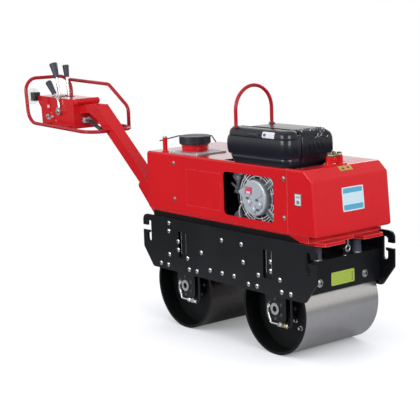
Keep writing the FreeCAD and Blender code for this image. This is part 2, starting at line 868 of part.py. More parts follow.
def drawbar_bracket():
    """Foot plate, two ears that carry the pivot and flank the beam, and the web it rests on."""
    inner = beam_half + ear_gap
    foot_x = -cross_face
    foot = box(foot_x - foot_wall, foot_x, -foot_half_width, foot_half_width, foot_low, foot_high)
    ear = [along(ear_reach, -ear_drop), along(ear_reach, beam_half + ear_rise),
           along(10, beam_half + ear_rise), (foot_x - foot_wall, foot_high),
           (foot_x - foot_wall, foot_low), along(36, -ear_heel)]
    pieces = [foot]
    for side in sides.values():
        y0, y1 = sorted((side * inner, side * (inner + ear_wall)))
        pieces.append(slab(ear, y0, y1, [14, 8, 30, 0, 0, 60]))
        pieces.append(pivot_rod(side * (beam_half + washer_gap), side * inner, washer_radius))
    top = -beam_half - stop_gap
    web = [along(ear_reach - 6, top), along(ear_reach - stop_reach, top),
           along(ear_reach - stop_reach, top - stop_wall), along(ear_reach - 6, top - stop_wall)]
    pieces.append(slab(web, -inner, inner))
    reach = inner + ear_wall + 1
    return joined(pieces).cut(pivot_rod(-reach, reach, pin_radius + pin_clearance))


def pivot_pin():
    reach = beam_half + ear_gap + ear_wall + seat_gap
    pieces = [pivot_rod(-reach, reach, pin_radius)]
    for side in sides.values():
        pieces.append(pivot_rod(side * reach, side * (reach + pin_head_height), pin_head_radius))
    return joined(pieces)


def beam():
    """Square tube with cheek plates and a lid that join it to the console."""
    half = beam_half
    length = (beam_head_height - pivot_z) / sin(radians(drawbar_angle)) + beam_side
    bar = slab([along(-beam_tail, -half), along(length, -half), along(length, half),
                along(-beam_tail, half)], -half, half, [half - 2, 0, 0, half - 2])
    inside = half - beam_wall
    hollow = slab([along(beam_tail, -inside), along(length, -inside), along(length, inside),
                   along(beam_tail, inside)], -inside, inside)
    rear = neck_rear_x
    above = box(rear - 500, pivot_x, -half - 1, half + 1, beam_head_height, beam_head_height + 300)
    bar = bar.cut(hollow).cut(above)
    cheek_line = [(rear, neck_low), (rear, neck_high),
                  (beam_x_at(beam_head_height, half), beam_head_height),
                  (beam_x_at(neck_foot, half), neck_foot), (beam_x_at(neck_foot, -half), neck_foot),
                  (beam_x_at(neck_waist, -half), neck_waist), (rear + neck_crown_reach, neck_crown)]
    pieces = [bar]
    for side in sides.values():
        y0, y1 = sorted((side * half, side * (half + neck_wall)))
        pieces.append(slab(cheek_line, y0, y1, [0, 0, 0, 0, 0, 0, 50]))
    lid_front = beam_x_at(beam_head_height, -half) + 2
    pieces.append(slab([(rear, neck_high), (lid_front, beam_head_height),
                        (lid_front, beam_head_height - neck_wall),
                        (rear, neck_high - neck_wall)], -half - neck_wall, half + neck_wall))
    return joined(pieces).cut(pivot_rod(-half - 1, half + 1, pin_radius + pin_clearance))


# ---------------------------------------------------------------- console
def console():
    """Sheet box with lever slots in its top and a round cross tube along its front edge."""
    w = console_wall
    hw = console_half_width
    x0, x1 = console_rear_x, neck_rear_x
    foot = x0 + console_step
    step = console_step_height
    profile = [(foot, console_low), (x1, console_low), (x1, console_high - 8), (x0, console_high),
               (x0, step), (foot - 8, step - 26)]
    face = Part.Face(outline(profile, [0, 0, 6, 6, 10, 10]))
    inner = face.makeOffset2D(-w)
    face.translate(V(0, -hw, 0))
    inner.translate(V(0, w - hw, 0))
    shell = face.extrude(V(0, 2 * hw, 0)).cut(inner.extrude(V(0, 2 * (hw - w), 0)))
    shell = shell.cut(box(foot + w, x1 - w, w - hw, hw - w, console_low - 1, console_low + w + 1))
    for x, y in zip(top_lever_x, top_lever_y):
        reach = lever_radius + 2
        shell = shell.cut(box(x - 45, x + 30, y - reach, y + reach, console_high - 30, console_high + 20))
    axis = V(x1 + roll_radius, -hw, roll_height)
    roll = Part.makeCylinder(roll_radius, 2 * hw, axis, V(0, 1, 0))
    roll = roll.makeFillet(6, [e for e in roll.Edges if e.Closed])
    web = box(x1, x1 + roll_radius, -hw + 8, hw - 8, roll_height - 6, roll_height + 6)
    return joined([shell, roll, web])


def rail_height(x):
    """Height of the loop's lower rails at x."""
    rise = (loop_rear_low_z - loop_front_z) / (loop_front_x - loop_rear_low_x)
    return loop_front_z + rise * (loop_front_x - x)


def rear_rail_x(z):
    """x of the loop's rear hoop at height z."""
    lean = (loop_rear_high_x - loop_rear_low_x) / (loop_rear_high_z - loop_rear_low_z)
    return loop_rear_low_x + lean * (z - loop_rear_low_z)


def loop_ring(radius):
    w = loop_half_width
    right = [V(loop_front_x, -w, loop_front_z), V(loop_rear_low_x, -w, loop_rear_low_z),
             V(loop_rear_high_x, -w, loop_rear_high_z)]
    left = [V(p.x, w, p.z) for p in reversed(right)]
    bends = [loop_front_bend, loop_low_bend, loop_high_bend]
    return tube(right + left, radius, bends + bends[::-1], closed=True)


def handle_loop():
    """Closed tube loop: two lower rails, a crossbar through the beam and a rear hoop."""
    w = loop_half_width
    ring = loop_ring(tube_radius)
    half = beam_half + neck_wall + seat_gap
    ring = ring.cut(box(loop_front_x - 60, loop_front_x + 60, -half, half,
                        loop_front_z - 40, loop_front_z + 40))
    pieces = [ring]
    for x in tab_x:
        z = rail_height(x)
        for side in sides.values():
            pieces.append(between(side, console_half_width + seat_gap, w, x - tab_length / 2,
                                  x + tab_length / 2, z - tab_wall / 2, z + tab_wall / 2))
    return joined(pieces)


def side_rail():
    """Upper guard rail on the left: up from the lower rail and back to the rear hoop."""
    w = loop_half_width
    rear_z = rail_rear_z
    points = [V(rail_foot_x, w, rail_height(rail_foot_x)), V(rail_foot_x, w, rail_knee_z),
              V(rail_shoulder_x, w, rail_shoulder_z), V(rear_rail_x(rear_z), w, rear_z)]
    rail = tube(points, tube_radius, [0, rail_bend, rail_bend, 0]).cut(loop_ring(tube_radius + seat_gap))
    return max(rail.Solids, key=lambda solid: solid.Volume)


def grip_end(start, index):
    lean = grip_lean[index]
    length = grip_length[index]
    return start + V(-lean, 0, (length ** 2 - lean ** 2) ** 0.5)


def lever_line(x, y, index):
    """Foot, bend, grip start and grip end of one lever in the console's top."""
    foot = V(x, y, console_high - 60)
    neck = V(x, y, console_high + 10)
    grip = V(x - top_lever_back[index], y, console_high + top_lever_rise)
    return foot, neck, grip, grip_end(grip, index)


def side_lever_line():
    y = -console_half_width - boss_depth / 2
    foot = V(side_lever_x, y, side_lever_z)
    neck = foot + V(-8, 0, 56)
    grip = foot + V(-side_lever_back, 0, side_lever_rise)
    return foot, neck, grip, grip_end(grip, 2)


def lever_lines():
    top = [lever_line(x, y, i) for i, (x, y) in enumerate(zip(top_lever_x, top_lever_y))]
    return top + [side_lever_line()]


def lever_shaft(line, radius):
    foot, neck, grip, end = line
    return tube([foot, neck, grip, grip + (end - grip) * 0.7], radius, [0, 22, 60, 0])


def levers():
    """Lever shafts, and the bosses they turn on, inside and on the side of the console."""
    first, second, beside = lever_lines()
    reach = console_half_width - console_wall
    middle = (first[0] + second[0]) / 2
    shaft_rod = rod(V(middle.x, -reach, middle.z), V(middle.x, reach, middle.z), boss_rod_radius)
    inner = joined([lever_shaft(first, lever_radius), lever_shaft(second, lever_radius), shaft_rod])
    foot = beside[0]
    boss = rod(V(foot.x, -console_half_width, foot.z), V(foot.x, -console_half_width - boss_depth, foot.z),
               boss_radius)
    return [inner, joined([lever_shaft(beside, lever_radius), boss])]


def grips():
    pieces = []
    for line, high_radius in zip(lever_lines(), grip_high_radius):
        grip, end = line[2:]
        path = end - grip
        cone = Part.makeCone(grip_low_radius, high_radius, path.Length, grip, path)
        top = [e for e in cone.Edges if e.Closed and (e.Curve.Center - end).Length < 0.01]
        pieces.append(cone.makeFillet(5, top).cut(lever_shaft(line, lever_radius + grip_clearance)))
    return pieces


def stop_block():
    w = stop_block_width / 2
    h = stop_block_height / 2
    return box(console_rear_x - stop_block_length, console_rear_x, stop_block_y - w, stop_block_y + w,
               stop_block_z - h, stop_block_z + h)


def stop_plate():
    stem_start = V(console_rear_x - stop_block_length, stop_block_y, stop_block_z)
    plate_start = stem_start + V(-stop_stem_length, 0, 0)
    plate = rod(plate_start, plate_start + V(-stop_plate_wall, 0, 0), stop_plate_radius)
    return joined([rod(stem_start, plate_start, stop_stem_radius), plate])


def cables():
    """Control cables from the console's front to the underside of the beam."""
    pieces = []
    for y in cable_y:
        low = along(cable_entry, -beam_half - cable_sag)
        end = along(cable_entry, -beam_half)
        points = [V(neck_rear_x, y, cable_start_z), V(neck_rear_x + 40, y, cable_start_z),
                  V(low[0], y, low[1]), V(end[0], y, end[1])]
        pieces.append(tube(points, cable_radius, [0, 24, 12, 0]))
    return pieces


def build():
    os.makedirs("parts", exist_ok=True)
    for place, x in axle_x.items():
        export(place + "_drum", drum(x))
        export(place + "_axle", axle(x))
        export(place + "_hangers", [hanger(x, side) for side in sides.values()])
        export(place + "_crossmember", crossmember(x / abs(x)))
    export("hub_caps", [hub_cap(x, side) for x in axle_x.values() for side in sides.values()])
    export("hub_pipes", [hub_pipe(x) for x in axle_x.values()])
    export("hub_hoses", [hub_hose(x) for x in axle_x.values()])
    for name, side in sides.items():
        export("side_plate_" + name, side_plate(side))
    export("frame_floor", frame_floor())
    export("exciter_housing", exciter())
    export("rubber_buffers", buffers())
    export("platform", platform())
    for name, shape in hood_parts().items():
        export(name, shape)
    export("engine_block", engine_block())
    export("fan_housing", fan_housing())
    export("recoil_starter", starter())
    export("engine_cover", engine_cover())
    export("muffler_cover", muffler_cover())
    export("lifting_hoop", lifting_hoop())
    export("filler_plate", filler_plate())
    export("filler_neck", filler_neck())
    export("filler_cap", filler_cap())
    export("lock_post", lock_post())
    export("lock_bar", lock_bar())
    export("couplings", couplings())
    export("coupling_stems", coupling_stems())
    export("drawbar_bracket", drawbar_bracket())
    export("pivot_pin", pivot_pin())
    export("beam", beam())
    export("console", console())
    export("handle_loop", handle_loop())
    export("side_rail", side_rail())
    export("levers", levers())
    export("lever_grips", grips())
    export("stop_block", stop_block())
    export("stop_plate", stop_plate())
    export("control_cables", cables())


build()
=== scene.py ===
import json
import math

import bmesh
import bpy
from mathutils import Matrix, Vector
from mathutils.bvhtree import BVHTree


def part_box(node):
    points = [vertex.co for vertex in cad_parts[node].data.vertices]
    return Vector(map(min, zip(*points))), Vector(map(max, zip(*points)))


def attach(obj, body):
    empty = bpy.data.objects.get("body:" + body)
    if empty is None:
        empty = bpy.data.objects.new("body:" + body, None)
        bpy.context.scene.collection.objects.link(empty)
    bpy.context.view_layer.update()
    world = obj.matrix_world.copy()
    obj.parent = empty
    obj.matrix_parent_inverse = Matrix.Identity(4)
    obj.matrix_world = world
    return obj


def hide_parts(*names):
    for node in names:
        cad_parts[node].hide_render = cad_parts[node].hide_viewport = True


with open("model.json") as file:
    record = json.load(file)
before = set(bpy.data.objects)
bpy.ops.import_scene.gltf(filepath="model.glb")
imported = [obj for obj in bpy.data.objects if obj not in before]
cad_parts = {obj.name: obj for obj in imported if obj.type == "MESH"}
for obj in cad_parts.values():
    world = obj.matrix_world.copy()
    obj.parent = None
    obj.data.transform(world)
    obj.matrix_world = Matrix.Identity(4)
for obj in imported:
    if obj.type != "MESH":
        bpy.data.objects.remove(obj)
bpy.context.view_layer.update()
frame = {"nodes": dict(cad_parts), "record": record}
nodes = frame["nodes"]
scene = bpy.context.scene

# Shapes are drawn in millimetres, and stand() brings a finished one to the scene's metres.
MM = 0.001
X, Y, Z = Vector((1, 0, 0)), Vector((0, 1, 0)), Vector((0, 0, 1))
SIDES = {"right": -1, "left": 1}


# --- places
def spot(*xyz):
    return Vector(xyz)


def box(node):
    """The lowest and the highest corner of a CAD node."""
    low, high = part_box(node)
    return low / MM, high / MM


def middle(node):
    low, high = box(node)
    return (low + high) / 2


between_drums = (middle("front_axle").x + middle("rear_axle").x) / 2


def at(x, y, z):
    """The point x ahead of the middle between the drums, y to the left, z above the ground."""
    return spot(between_drums + x, y, z)


def outer_face(node, side):
    """Where the face of a node on the machine's left (1) or right (-1) lies."""
    low, high = box(node)
    return low.y if side < 0 else high.y


def add(name, data):
    thing = bpy.data.objects.new(name, data)
    scene.collection.objects.link(thing)
    return thing


def set_camera():
    azimuth, elevation, roll = (math.radians(a) for a in (51.41, 9.87, -1.82))
    lens = bpy.data.cameras.new("camera")
    lens.sensor_width, lens.lens, lens.clip_end = 36, 105.795, 60
    scene.camera = add("camera", lens)
    scene.camera.matrix_world = (
        Matrix.Translation(at(4151.5, -3612.39, 1529.09) * MM) @ Matrix.Rotation(azimuth, 4, "Z")
        @ Matrix.Rotation(math.pi / 2 - elevation, 4, "X") @ Matrix.Rotation(roll, 4, "Z"))


# --- node trees
def spaced(named):
    """Socket names as the nodes spell them."""
    return {label.replace("_", " "): value for label, value in named.items()}


class Web:
    """A node tree being filled. A node's inputs are values or other nodes' outputs."""

    def __init__(self, tree):
        self.tree = tree
        tree.nodes.clear()

    def put(self, kind, inputs=(), **settings):
        """Adds a node and gives its outputs."""
        node = self.tree.nodes.new(kind if "Node" in kind else "ShaderNode" + kind)
        for name, value in settings.items():
            setattr(node, name, value)
        for socket, value in dict(inputs).items():
            if isinstance(value, bpy.types.NodeSocket):
                self.tree.links.new(value, node.inputs[socket])
            else:
                node.inputs[socket].default_value = value
        return node.outputs

    def calc(self, operation, *values, clamp=False):
        return self.put("Math", enumerate(values), operation=operation, use_clamp=clamp)[0]

    def times(self, first, second, clamp=False):
        return self.calc("MULTIPLY", first, second, clamp=clamp)

    def vector(self, operation, *vectors, output=0):
        return self.put("VectorMath", enumerate(vectors), operation=operation)[output]

    def blend(self, factor, first, second):
        return self.put("Mix", {0: factor, 6: first, 7: second}, data_type="RGBA")[2]

    def spread(self, *value_and_ranges):
        """A value brought from one range (low, high) to another, by default 0 to 1."""
        return self.put("MapRange", enumerate(value_and_ranges))[0]

    def noise(self, vector, scale, detail=2.0, roughness=0.5):
        return self.put("TexNoise", {"Vector": vector, "Scale": scale, "Detail": detail,
                                     "Roughness": roughness})[0]

    def between(self, value, low, high):
        """1 where the value lies between low and high."""
        return self.times(self.calc("GREATER_THAN", value, low), self.calc("LESS_THAN", value, high))

    def axes(self, vector):
        return self.put("SeparateXYZ", {0: vector})

    def bump(self, height, distance, strength=0.4):
        return self.put("Bump", {"Height": height, "Distance": distance * MM, "Strength": strength})[0]

    def effect(self, key, vector, **inputs):
        return self.put("Group", {"Vector": vector, **spaced(inputs)}, node_tree=EFFECTS[key])

    def close(self, **sockets):
        """The Principled shader, with constants on its own sockets."""
        self.put("OutputMaterial", {"Surface": self.put("BsdfPrincipled", spaced(sockets))[0]})


def new_group(kind, name, inputs, outputs):
    """A node group. Each socket is given by its name and either its sort or its first value."""
    tree = bpy.data.node_groups.new(name, kind + "NodeTree")
    sorts = {float: "Float", int: "Int", tuple: "Vector"}
    for way, sockets in (("INPUT", inputs), ("OUTPUT", outputs)):
        for socket_name, value in sockets.items():
            sort = sorts.get(type(value), value)
            socket = tree.interface.new_socket(socket_name, in_out=way, socket_type="NodeSocket" + sort)
            if sort != value:
                socket.default_value = value
    web = Web(tree)
    return web, web.put("NodeGroupInput")


def new_effect(name, outputs, **inputs):
    return new_group("Shader", name, {"Vector": "Vector", **spaced(inputs)}, dict.fromkeys(outputs, "Float"))


def close_effect(web, **masks):
    web.put("NodeGroupOutput", masks)
    return web.tree


def paint_film():
    """Fine ripple and broad unevenness of a sprayed film."""
    web, given = new_effect("paint_film", ("Ripple", "Cloud"), Ripple_Scale=260.0, Cloud_Scale=3.0)
    return close_effect(web, Ripple=web.noise(given["Vector"], given["Ripple Scale"], 3.0),
                        Cloud=web.noise(given["Vector"], given["Cloud Scale"], 4.0, 0.55))


def edge_wear_and_highlight():
    """Mask of sharp edges, broken up by noise, for wear and for painted highlights along edges."""
    web, given = new_effect("edge_wear_and_highlight", ["Mask"], Width=0.002, Break_Up=60.0, Least=0.0)
    soft = web.put("Bevel", {"Radius": given["Width"]}, samples=3)[0]
    sharp = web.put("NewGeometry")["Normal"]
    edge = web.spread(web.vector("DOT_PRODUCT", soft, sharp, output="Value"), 0.995, 0.85)
    patch = web.spread(web.noise(given["Vector"], given["Break Up"], 4.0), 0.42, 0.62)
    return close_effect(web, Mask=web.times(edge, web.spread(patch, 0, 1, given["Least"], 1), clamp=True))


def settled_dust():
    """Mask of the fine dust that settles low down and on faces that look up."""
    web, given = new_effect("settled_dust", ["Mask"], Top=0.3, Patch_Scale=9.0)
    low = web.spread(web.calc("DIVIDE", web.axes(given["Vector"])["Z"], given["Top"]), 1, 0)
    upward = web.spread(web.axes(web.put("NewGeometry")["Normal"])["Z"], 0.2, 1, 0, 0.5)
    patch = web.spread(web.noise(given["Vector"], given["Patch Scale"], 6.0, 0.65), 0.35, 0.75)
    return close_effect(web, Mask=web.times(web.calc("MAXIMUM", low, upward), patch))


def brushing():
    """Streaks of a brushed or turned surface, drawn out by the Stretch vector."""
    web, given = new_effect("brushing", ("Streak", "Fine"), Stretch=(1.0, 1.0, 1.0), Scale=10.0)
    drawn = web.vector("MULTIPLY", given["Vector"], given["Stretch"])
    return close_effect(web, Streak=web.noise(drawn, given["Scale"], 5.0, 0.6),
                        Fine=web.noise(drawn, web.times(given["Scale"], 5.0), 3.0, 0.7))


EFFECTS = {"film": paint_film(), "wear_and_highlight": edge_wear_and_highlight(), "dust": settled_dust(), "brushing": brushing()}


# --- materials
RED = (0.685, 0.013, 0.018)
LACQUER = {"Specular_IOR_Level": 0.03, "Coat_Weight": 1.0, "Coat_IOR": 1.28, "Coat_Roughness": 0.07}
COVER_GLOSS = {"dust_top": 0.1, "Specular_IOR_Level": 0.2, "Coat_Weight": 0.4, "Coat_IOR": 1.45,
               "Coat_Roughness": 0.12}
DUST = (0.42, 0.39, 0.35)
materials = {}


def tone(colour, factor=1.0):
    """A colour made darker or lighter."""
    return (*(min(1, c * factor) for c in colour), 1.0)


def new_material(name):
    material = materials[name] = bpy.data.materials.new(name + "_finish")
    material.use_nodes = True
    web = Web(material.node_tree)
    return web, web.put("TexCoord")["Object"]


def painted(name, colour, wear_and_highlight_colour, roughness=0.3, ripple=0.06, ripple_scale=260.0, dust=0.15, cloud=0.06,
            wear_and_highlight_width=1.5, least_wear_and_highlight=0.0, dust_top=0.3, **constants):
    """Sprayed or moulded finish: ripple, cloudiness, lighter edges for wear and painted highlights, and a
    little dust.
    """
    web, vector = new_material(name)
    film = web.effect("film", vector, Ripple_Scale=ripple_scale, Cloud_Scale=3.5)
    # Lighter edges: wear, and on the red paints also painted highlights along folds and edges.
    wear_and_highlight = web.effect("wear_and_highlight", vector, Width=wear_and_highlight_width * MM, Break_Up=45.0, Least=least_wear_and_highlight)["Mask"]
    dusty = web.times(web.effect("dust", vector, Top=dust_top, Patch_Scale=8.0)["Mask"], dust)
    base = web.blend(web.spread(film["Cloud"], 0.3, 0.7), tone(colour, 1 - cloud), tone(colour, 1 + cloud))
    rough = web.spread(film["Cloud"], 0.3, 0.7, roughness * 0.88, roughness * 1.12)
    web.close(Base_Color=web.blend(dusty, web.blend(wear_and_highlight, base, tone(wear_and_highlight_colour)), tone(DUST)),
              Roughness=web.calc("ADD", rough, web.times(dusty, 0.5), clamp=True),
              Normal=web.bump(film["Ripple"], ripple), **constants)


def metal(name, colour, roughness, scale=12.0, stretch=(1.0, 1.0, 1.0), contrast=0.12, bump=0.04,
          metallic=1.0):
    """Bare metal with streaks drawn along one direction."""
    web, vector = new_material(name)
    streaks = web.effect("brushing", vector, Stretch=stretch, Scale=scale)
    # Lighter edges: wear, and partly painted highlight.
    wear_and_highlight = web.effect("wear_and_highlight", vector, Width=0.001, Break_Up=90.0)["Mask"]
    base = web.blend(web.spread(streaks["Streak"], 0.3, 0.7), tone(colour, 1 - contrast),
                     tone(colour, 1 + contrast))
    web.close(Base_Color=web.blend(wear_and_highlight, base, tone(colour, 1.25)), Metallic=metallic,
              Roughness=web.spread(streaks["Fine"], 0.25, 0.75, roughness * 0.8, roughness * 1.25),
              Normal=web.bump(streaks["Fine"], bump))


def from_the_middle(web, vector, node):
    """Coordinates from a round node's middle, its x, y and z, and the distance from its axle."""
    local = web.put("Mapping", {"Vector": vector, "Location": middle(node) * -MM})[0]
    x, y, z = web.axes(local)
    return local, x, y, z, web.calc("SQRT", web.calc("ADD", web.times(x, x), web.times(z, z)))


def drum_material(drum, shade):
    """Steel skin brushed around the drum by rolling; everything inside the rims is black paint."""
    web, vector = new_material(drum)
    low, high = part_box(drum)
    local, x, y, z, reach = from_the_middle(web, vector, drum)
    steel_mask = web.times(web.calc("GREATER_THAN", reach, (high.x - low.x) / 2 - 0.0012),
                           web.calc("LESS_THAN", web.calc("ABSOLUTE", y), (high.y - low.y) / 2 - 0.0008))
    turn_x, turn_z = (web.calc("DIVIDE", way, reach) for way in (x, z))
    around = web.put("CombineXYZ", {0: turn_x, 1: y, 2: turn_z})[0]
    streaks = web.effect("brushing", around, Stretch=(0.2, 40.0, 0.2), Scale=9.0)
    clouds = web.noise(local, 5.0, 5.0, 0.6)
    steel = web.blend(web.spread(streaks["Streak"], 0.3, 0.7), tone(shade, 0.975), tone(shade, 1.025))
    steel = web.blend(web.spread(clouds, 0.45, 0.8, 0, 0.15), steel, tone(shade, 0.75))
    black = web.blend(web.spread(clouds, 0.5, 0.8, 0, 0.3), tone((0.0040, 0.0045, 0.0048)),
                      tone((0.010, 0.010, 0.009)))
    steel_rough = web.spread(streaks["Fine"], 0.25, 0.75, 0.26, 0.30)
    web.close(Base_Color=web.blend(steel_mask, black, steel), Metallic=steel_mask, Specular_IOR_Level=0.2,
              Roughness=web.spread(steel_mask, 0, 1, 0.5, steel_rough),
              Normal=web.bump(web.times(streaks["Fine"], steel_mask), 0.005, 0.2))


def fan_material(node, guard_radius, guard_depth):
    """Black fan housing whose wire guard is bare bright metal."""
    web, vector = new_material(node)
    y, reach = from_the_middle(web, vector, node)[2::2]
    guard_back = (box(node)[0].y - middle(node).y + guard_depth) * MM
    wires = web.times(web.calc("LESS_THAN", y, guard_back), web.calc("LESS_THAN", reach, guard_radius * MM))
    grain = web.noise(vector, 300.0, 3.0)
    bright = web.blend(grain, tone((0.76, 0.77, 0.79)), tone((0.92, 0.93, 0.95)))
    dark = web.blend(grain, tone((0.012, 0.013, 0.016)), tone((0.022, 0.023, 0.027)))
    web.close(Base_Color=web.blend(wires, dark, bright), Metallic=web.times(wires, 0.25),
              Roughness=web.spread(grain, 0.3, 0.7, 0.32, 0.45), Normal=web.bump(grain, 0.05))


def film_material(name, ground, prints):
    """A printed film. A print is an ink and its boxes (left, right, low, high) on the label."""
    web, vector = new_material(name)
    across, up, _ = web.axes(web.put("UVMap", uv_map="label")[0])
    grain = web.noise(vector, 900.0)
    colour = web.blend(grain, tone(ground, 0.95), tone(ground, 1.04))
    for ink, boxes in prints:
        for left, right, low, high in boxes:
            mask = web.times(web.between(across, left, right), web.between(up, low, high))
            colour = web.blend(mask, colour, tone(ink))
    scuff = web.spread(web.noise(vector, 60.0, 6.0, 0.7), 0.62, 0.8, 0, 0.25)
    web.close(Base_Color=web.blend(scuff, colour, tone((0.5, 0.5, 0.5))), Normal=web.bump(grain, 0.02),
              Roughness=web.spread(grain, 0.3, 0.7, 0.2975, 0.4025), Coat_Weight=0.3, Coat_Roughness=0.1)


def border(across, up):
    """Lines along a label's four edges."""
    return [(0, across, 0, 1), (1 - across, 1, 0, 1), (0, 1, 0, up), (0, 1, 1 - up, 1)]


# Name, colour, colour of worn and highlighted edges, roughness, ripple, its scale, dust.
painted("red_paint", RED, (0.78, 0.12, 0.11), 0.35, dust=0.03, cloud=0.05, wear_and_highlight_width=1.4, least_wear_and_highlight=0.2,
        **LACQUER)
# Hood front and platform tabs: the wide, nearly unbroken lighter edge colour is a painted highlight along
# their folds and edges.
painted("front_red", RED, (0.88, 0.33, 0.30), 0.35, dust=0.03, cloud=0.05, wear_and_highlight_width=3.6, least_wear_and_highlight=0.8,
        **LACQUER)
# Pressed frame: its lighter edge colour is a painted highlight that shows the bead's outline.
painted("bead_red", RED, (0.80, 0.14, 0.13), 0.35, dust=0.03, least_wear_and_highlight=0.2, **LACQUER)
# Deck: a darker copy of the red paint on the upward-facing deck, painted shade; its lighter edge colour is a
# painted highlight.
painted("deck_red", (0.36, 0.009, 0.014), (0.86, 0.30, 0.27), 0.35, dust=0.03, wear_and_highlight_width=2.8, least_wear_and_highlight=0.5,
        Specular_IOR_Level=0.05, Coat_Weight=1.0, Coat_IOR=1.75, Coat_Roughness=0.08)
painted("tube_red", (0.47, 0.013, 0.024), (0.75, 0.22, 0.24), 0.35, cloud=0.08, **LACQUER)
painted("black_paint", (0.0052, 0.0058, 0.0072), (0.07, 0.07, 0.075), 0.34, 0.1, 420.0, 0.05, 0.15,
        Specular_IOR_Level=0.31)
painted("grey_paint", (0.46, 0.47, 0.49), (0.5, 0.5, 0.5), 0.4)
painted("black_rubber", (0.036, 0.039, 0.055), (0.06, 0.06, 0.065), 0.62, 0.2, 700.0, 0.25)
painted("grip_rubber", (0.038, 0.040, 0.062), (0.10, 0.10, 0.11), 0.5, 0.2, 900.0, 0.12)
painted("engine_black", (0.012, 0.0125, 0.014), (0.06, 0.06, 0.06), 0.45, 0.4, 180.0)
painted("black_plastic", (0.018, 0.020, 0.031), (0.08, 0.085, 0.11), 0.34, 0.12, 500.0,
        Specular_IOR_Level=0.5)
painted("cover_plastic", (0.0078, 0.0088, 0.0150), (0.08, 0.09, 0.12), 0.30, 0.08, 520.0, 0.04, **COVER_GLOSS)
painted("cover_metal", (0.0066, 0.0074, 0.0125), (0.05, 0.055, 0.07), 0.28, 0.1, 300.0, 0.04, **COVER_GLOSS)
painted("clear_plastic", (0.93, 0.95, 0.95), (0.97, 0.97, 0.97), 0.18, dust=0.0, cloud=0.02,
        Transmission_Weight=0.85, IOR=1.3)
# Near black for discs and bars in sockets, slots and holes: painted shade in recesses.
painted("dark_socket", (0.006, 0.006, 0.007), (0.02, 0.02, 0.02), 0.6)
painted("casting", (0.10, 0.105, 0.13), (0.2, 0.2, 0.22), 0.5, 0.4)
painted("hose_black", (0.0060, 0.0064, 0.0080), (0.03, 0.03, 0.035), 0.5, 0.2, 900.0, 0.04,
        Specular_IOR_Level=0.3)
painted("buffer_grey", (0.060, 0.066, 0.098), (0.09, 0.095, 0.11), 0.6, 0.2, 700.0)
# Dead black for sheets and strips where the hood's inside and the gap under its sides lie in shade: painted
# shade.
painted("foam", (0.008, 0.008, 0.009), (0.03, 0.03, 0.03), 0.9, 1.2, 160.0, Specular_IOR_Level=0.1)
painted("pale_hose", (0.62, 0.61, 0.60), (0.7, 0.7, 0.7), 0.4)
# Name, colour, roughness, scale of the streaks, their stretch.
metal("axle_steel", (0.62, 0.62, 0.63), 0.33, 12.0, (30.0, 1.0, 30.0))
metal("bright_steel", (0.66, 0.66, 0.65), 0.22, 12.0, (20.0, 20.0, 1.5))
metal("brass_parts", (0.34, 0.29, 0.15), 0.34, 12.0, (10.0, 10.0, 1.0))
metal("cast_aluminium", (0.50, 0.54, 0.58), 0.42, 160.0, contrast=0.10, bump=0.3, metallic=0.35)
metal("bar_steel", (0.10, 0.10, 0.11), 0.4, 60.0)
# Bare steel for the transport eye, and bright lines that stand for highlights on the side plates' strip
# edges: painted highlight.
metal("worn_edge", (0.55, 0.55, 0.56), 0.3, 90.0, contrast=0.5)
metal("black_zinc", (0.16, 0.16, 0.165), 0.4, 160.0)
metal("zinc", (0.44, 0.36, 0.31), 0.38, 160.0)
# Bright steel for lips that stand for glints on the perforation: painted glints.
metal("punched", (0.62, 0.63, 0.65), 0.22, 200.0)
drum_material("front_drum", (0.54, 0.53, 0.515))
# The rear drum's steel is a much darker copy of the front drum's: painted shade, as the rear drum lies in
# shadow under the machine.
drum_material("rear_drum", (0.15, 0.139, 0.127))
fan_material("fan_housing", 124, 2.4)
film_material("front_label", (0.46, 0.60, 0.075), [
    ((0.22, 0.34, 0.05), [(0.06, 0.82, v, v + 0.025) for v in (0.18, 0.34, 0.50, 0.66, 0.82)]),
    ((0.02, 0.03, 0.02), [(0.875, 0.925, v, v + 0.10) for v in (0.14, 0.32, 0.50, 0.68)])])
film_material("front_sticker", (0.66, 0.86, 0.92), [
    ((0.10, 0.42, 0.62), [(0.05, 0.95, 0.75, 0.95), (0.05, 0.95, 0.05, 0.27)]),
    ((0.80, 0.86, 0.90), border(0.045, 0.045))])
film_material("brow_label", (0.58, 0.33, 0.03), [
    ((0.06, 0.04, 0.02), [*border(0, 0.07)[2:], (0.18, 0.40, 0.30, 0.62), (0.62, 0.80, 0.35, 0.72)])])
film_material("side_label", (0.80, 0.81, 0.82), [
    ((0.05, 0.05, 0.06), border(0.09, 0.07)), ((0.22, 0.24, 0.28), [(0.3, 0.72, 0.16, 0.44)]),
    ((0.45, 0.47, 0.52), [(0.22, 0.8, 0.60, 0.80)])])
film_material("starter_label", (0.62, 0.06, 0.12), [((0.75, 0.74, 0.76), [(0.22, 0.80, 0.08, 0.38)])])
film_material("cover_label", (0.80, 0.82, 0.84), [
    ((0.55, 0.57, 0.60), [(0.40, 0.95, v, v + 0.05) for v in (0.25, 0.45, 0.65)]),
    ((0.08, 0.08, 0.09), [(0.08, 0.30, 0.30, 0.75)])])
film_material("console_label", (0.82, 0.80, 0.74), [((0.5, 0.5, 0.5), [(0, 1, 0, 0.08)])])
# Nodes whose finish is neither their own nor their slot's.
OTHER_FINISH = {"handle_loop": "tube_red", "side_rail": "tube_red", "lifting_hoop": "tube_red",
                "hood_front": "front_red", "platform": "front_red", "hood_deck": "deck_red",
                "lock_bar": "bar_steel", "hub_hoses": "hose_black", "rubber_buffers": "buffer_grey"}


def finish_nodes():
    for part in frame["record"]["subparts"]:
        node, mesh = part["node"], nodes[part["node"]].data
        finish = OTHER_FINISH.get(node, node if node in materials else part["material_slot"])
        mesh.materials.clear()
        mesh.materials.append(materials[finish])


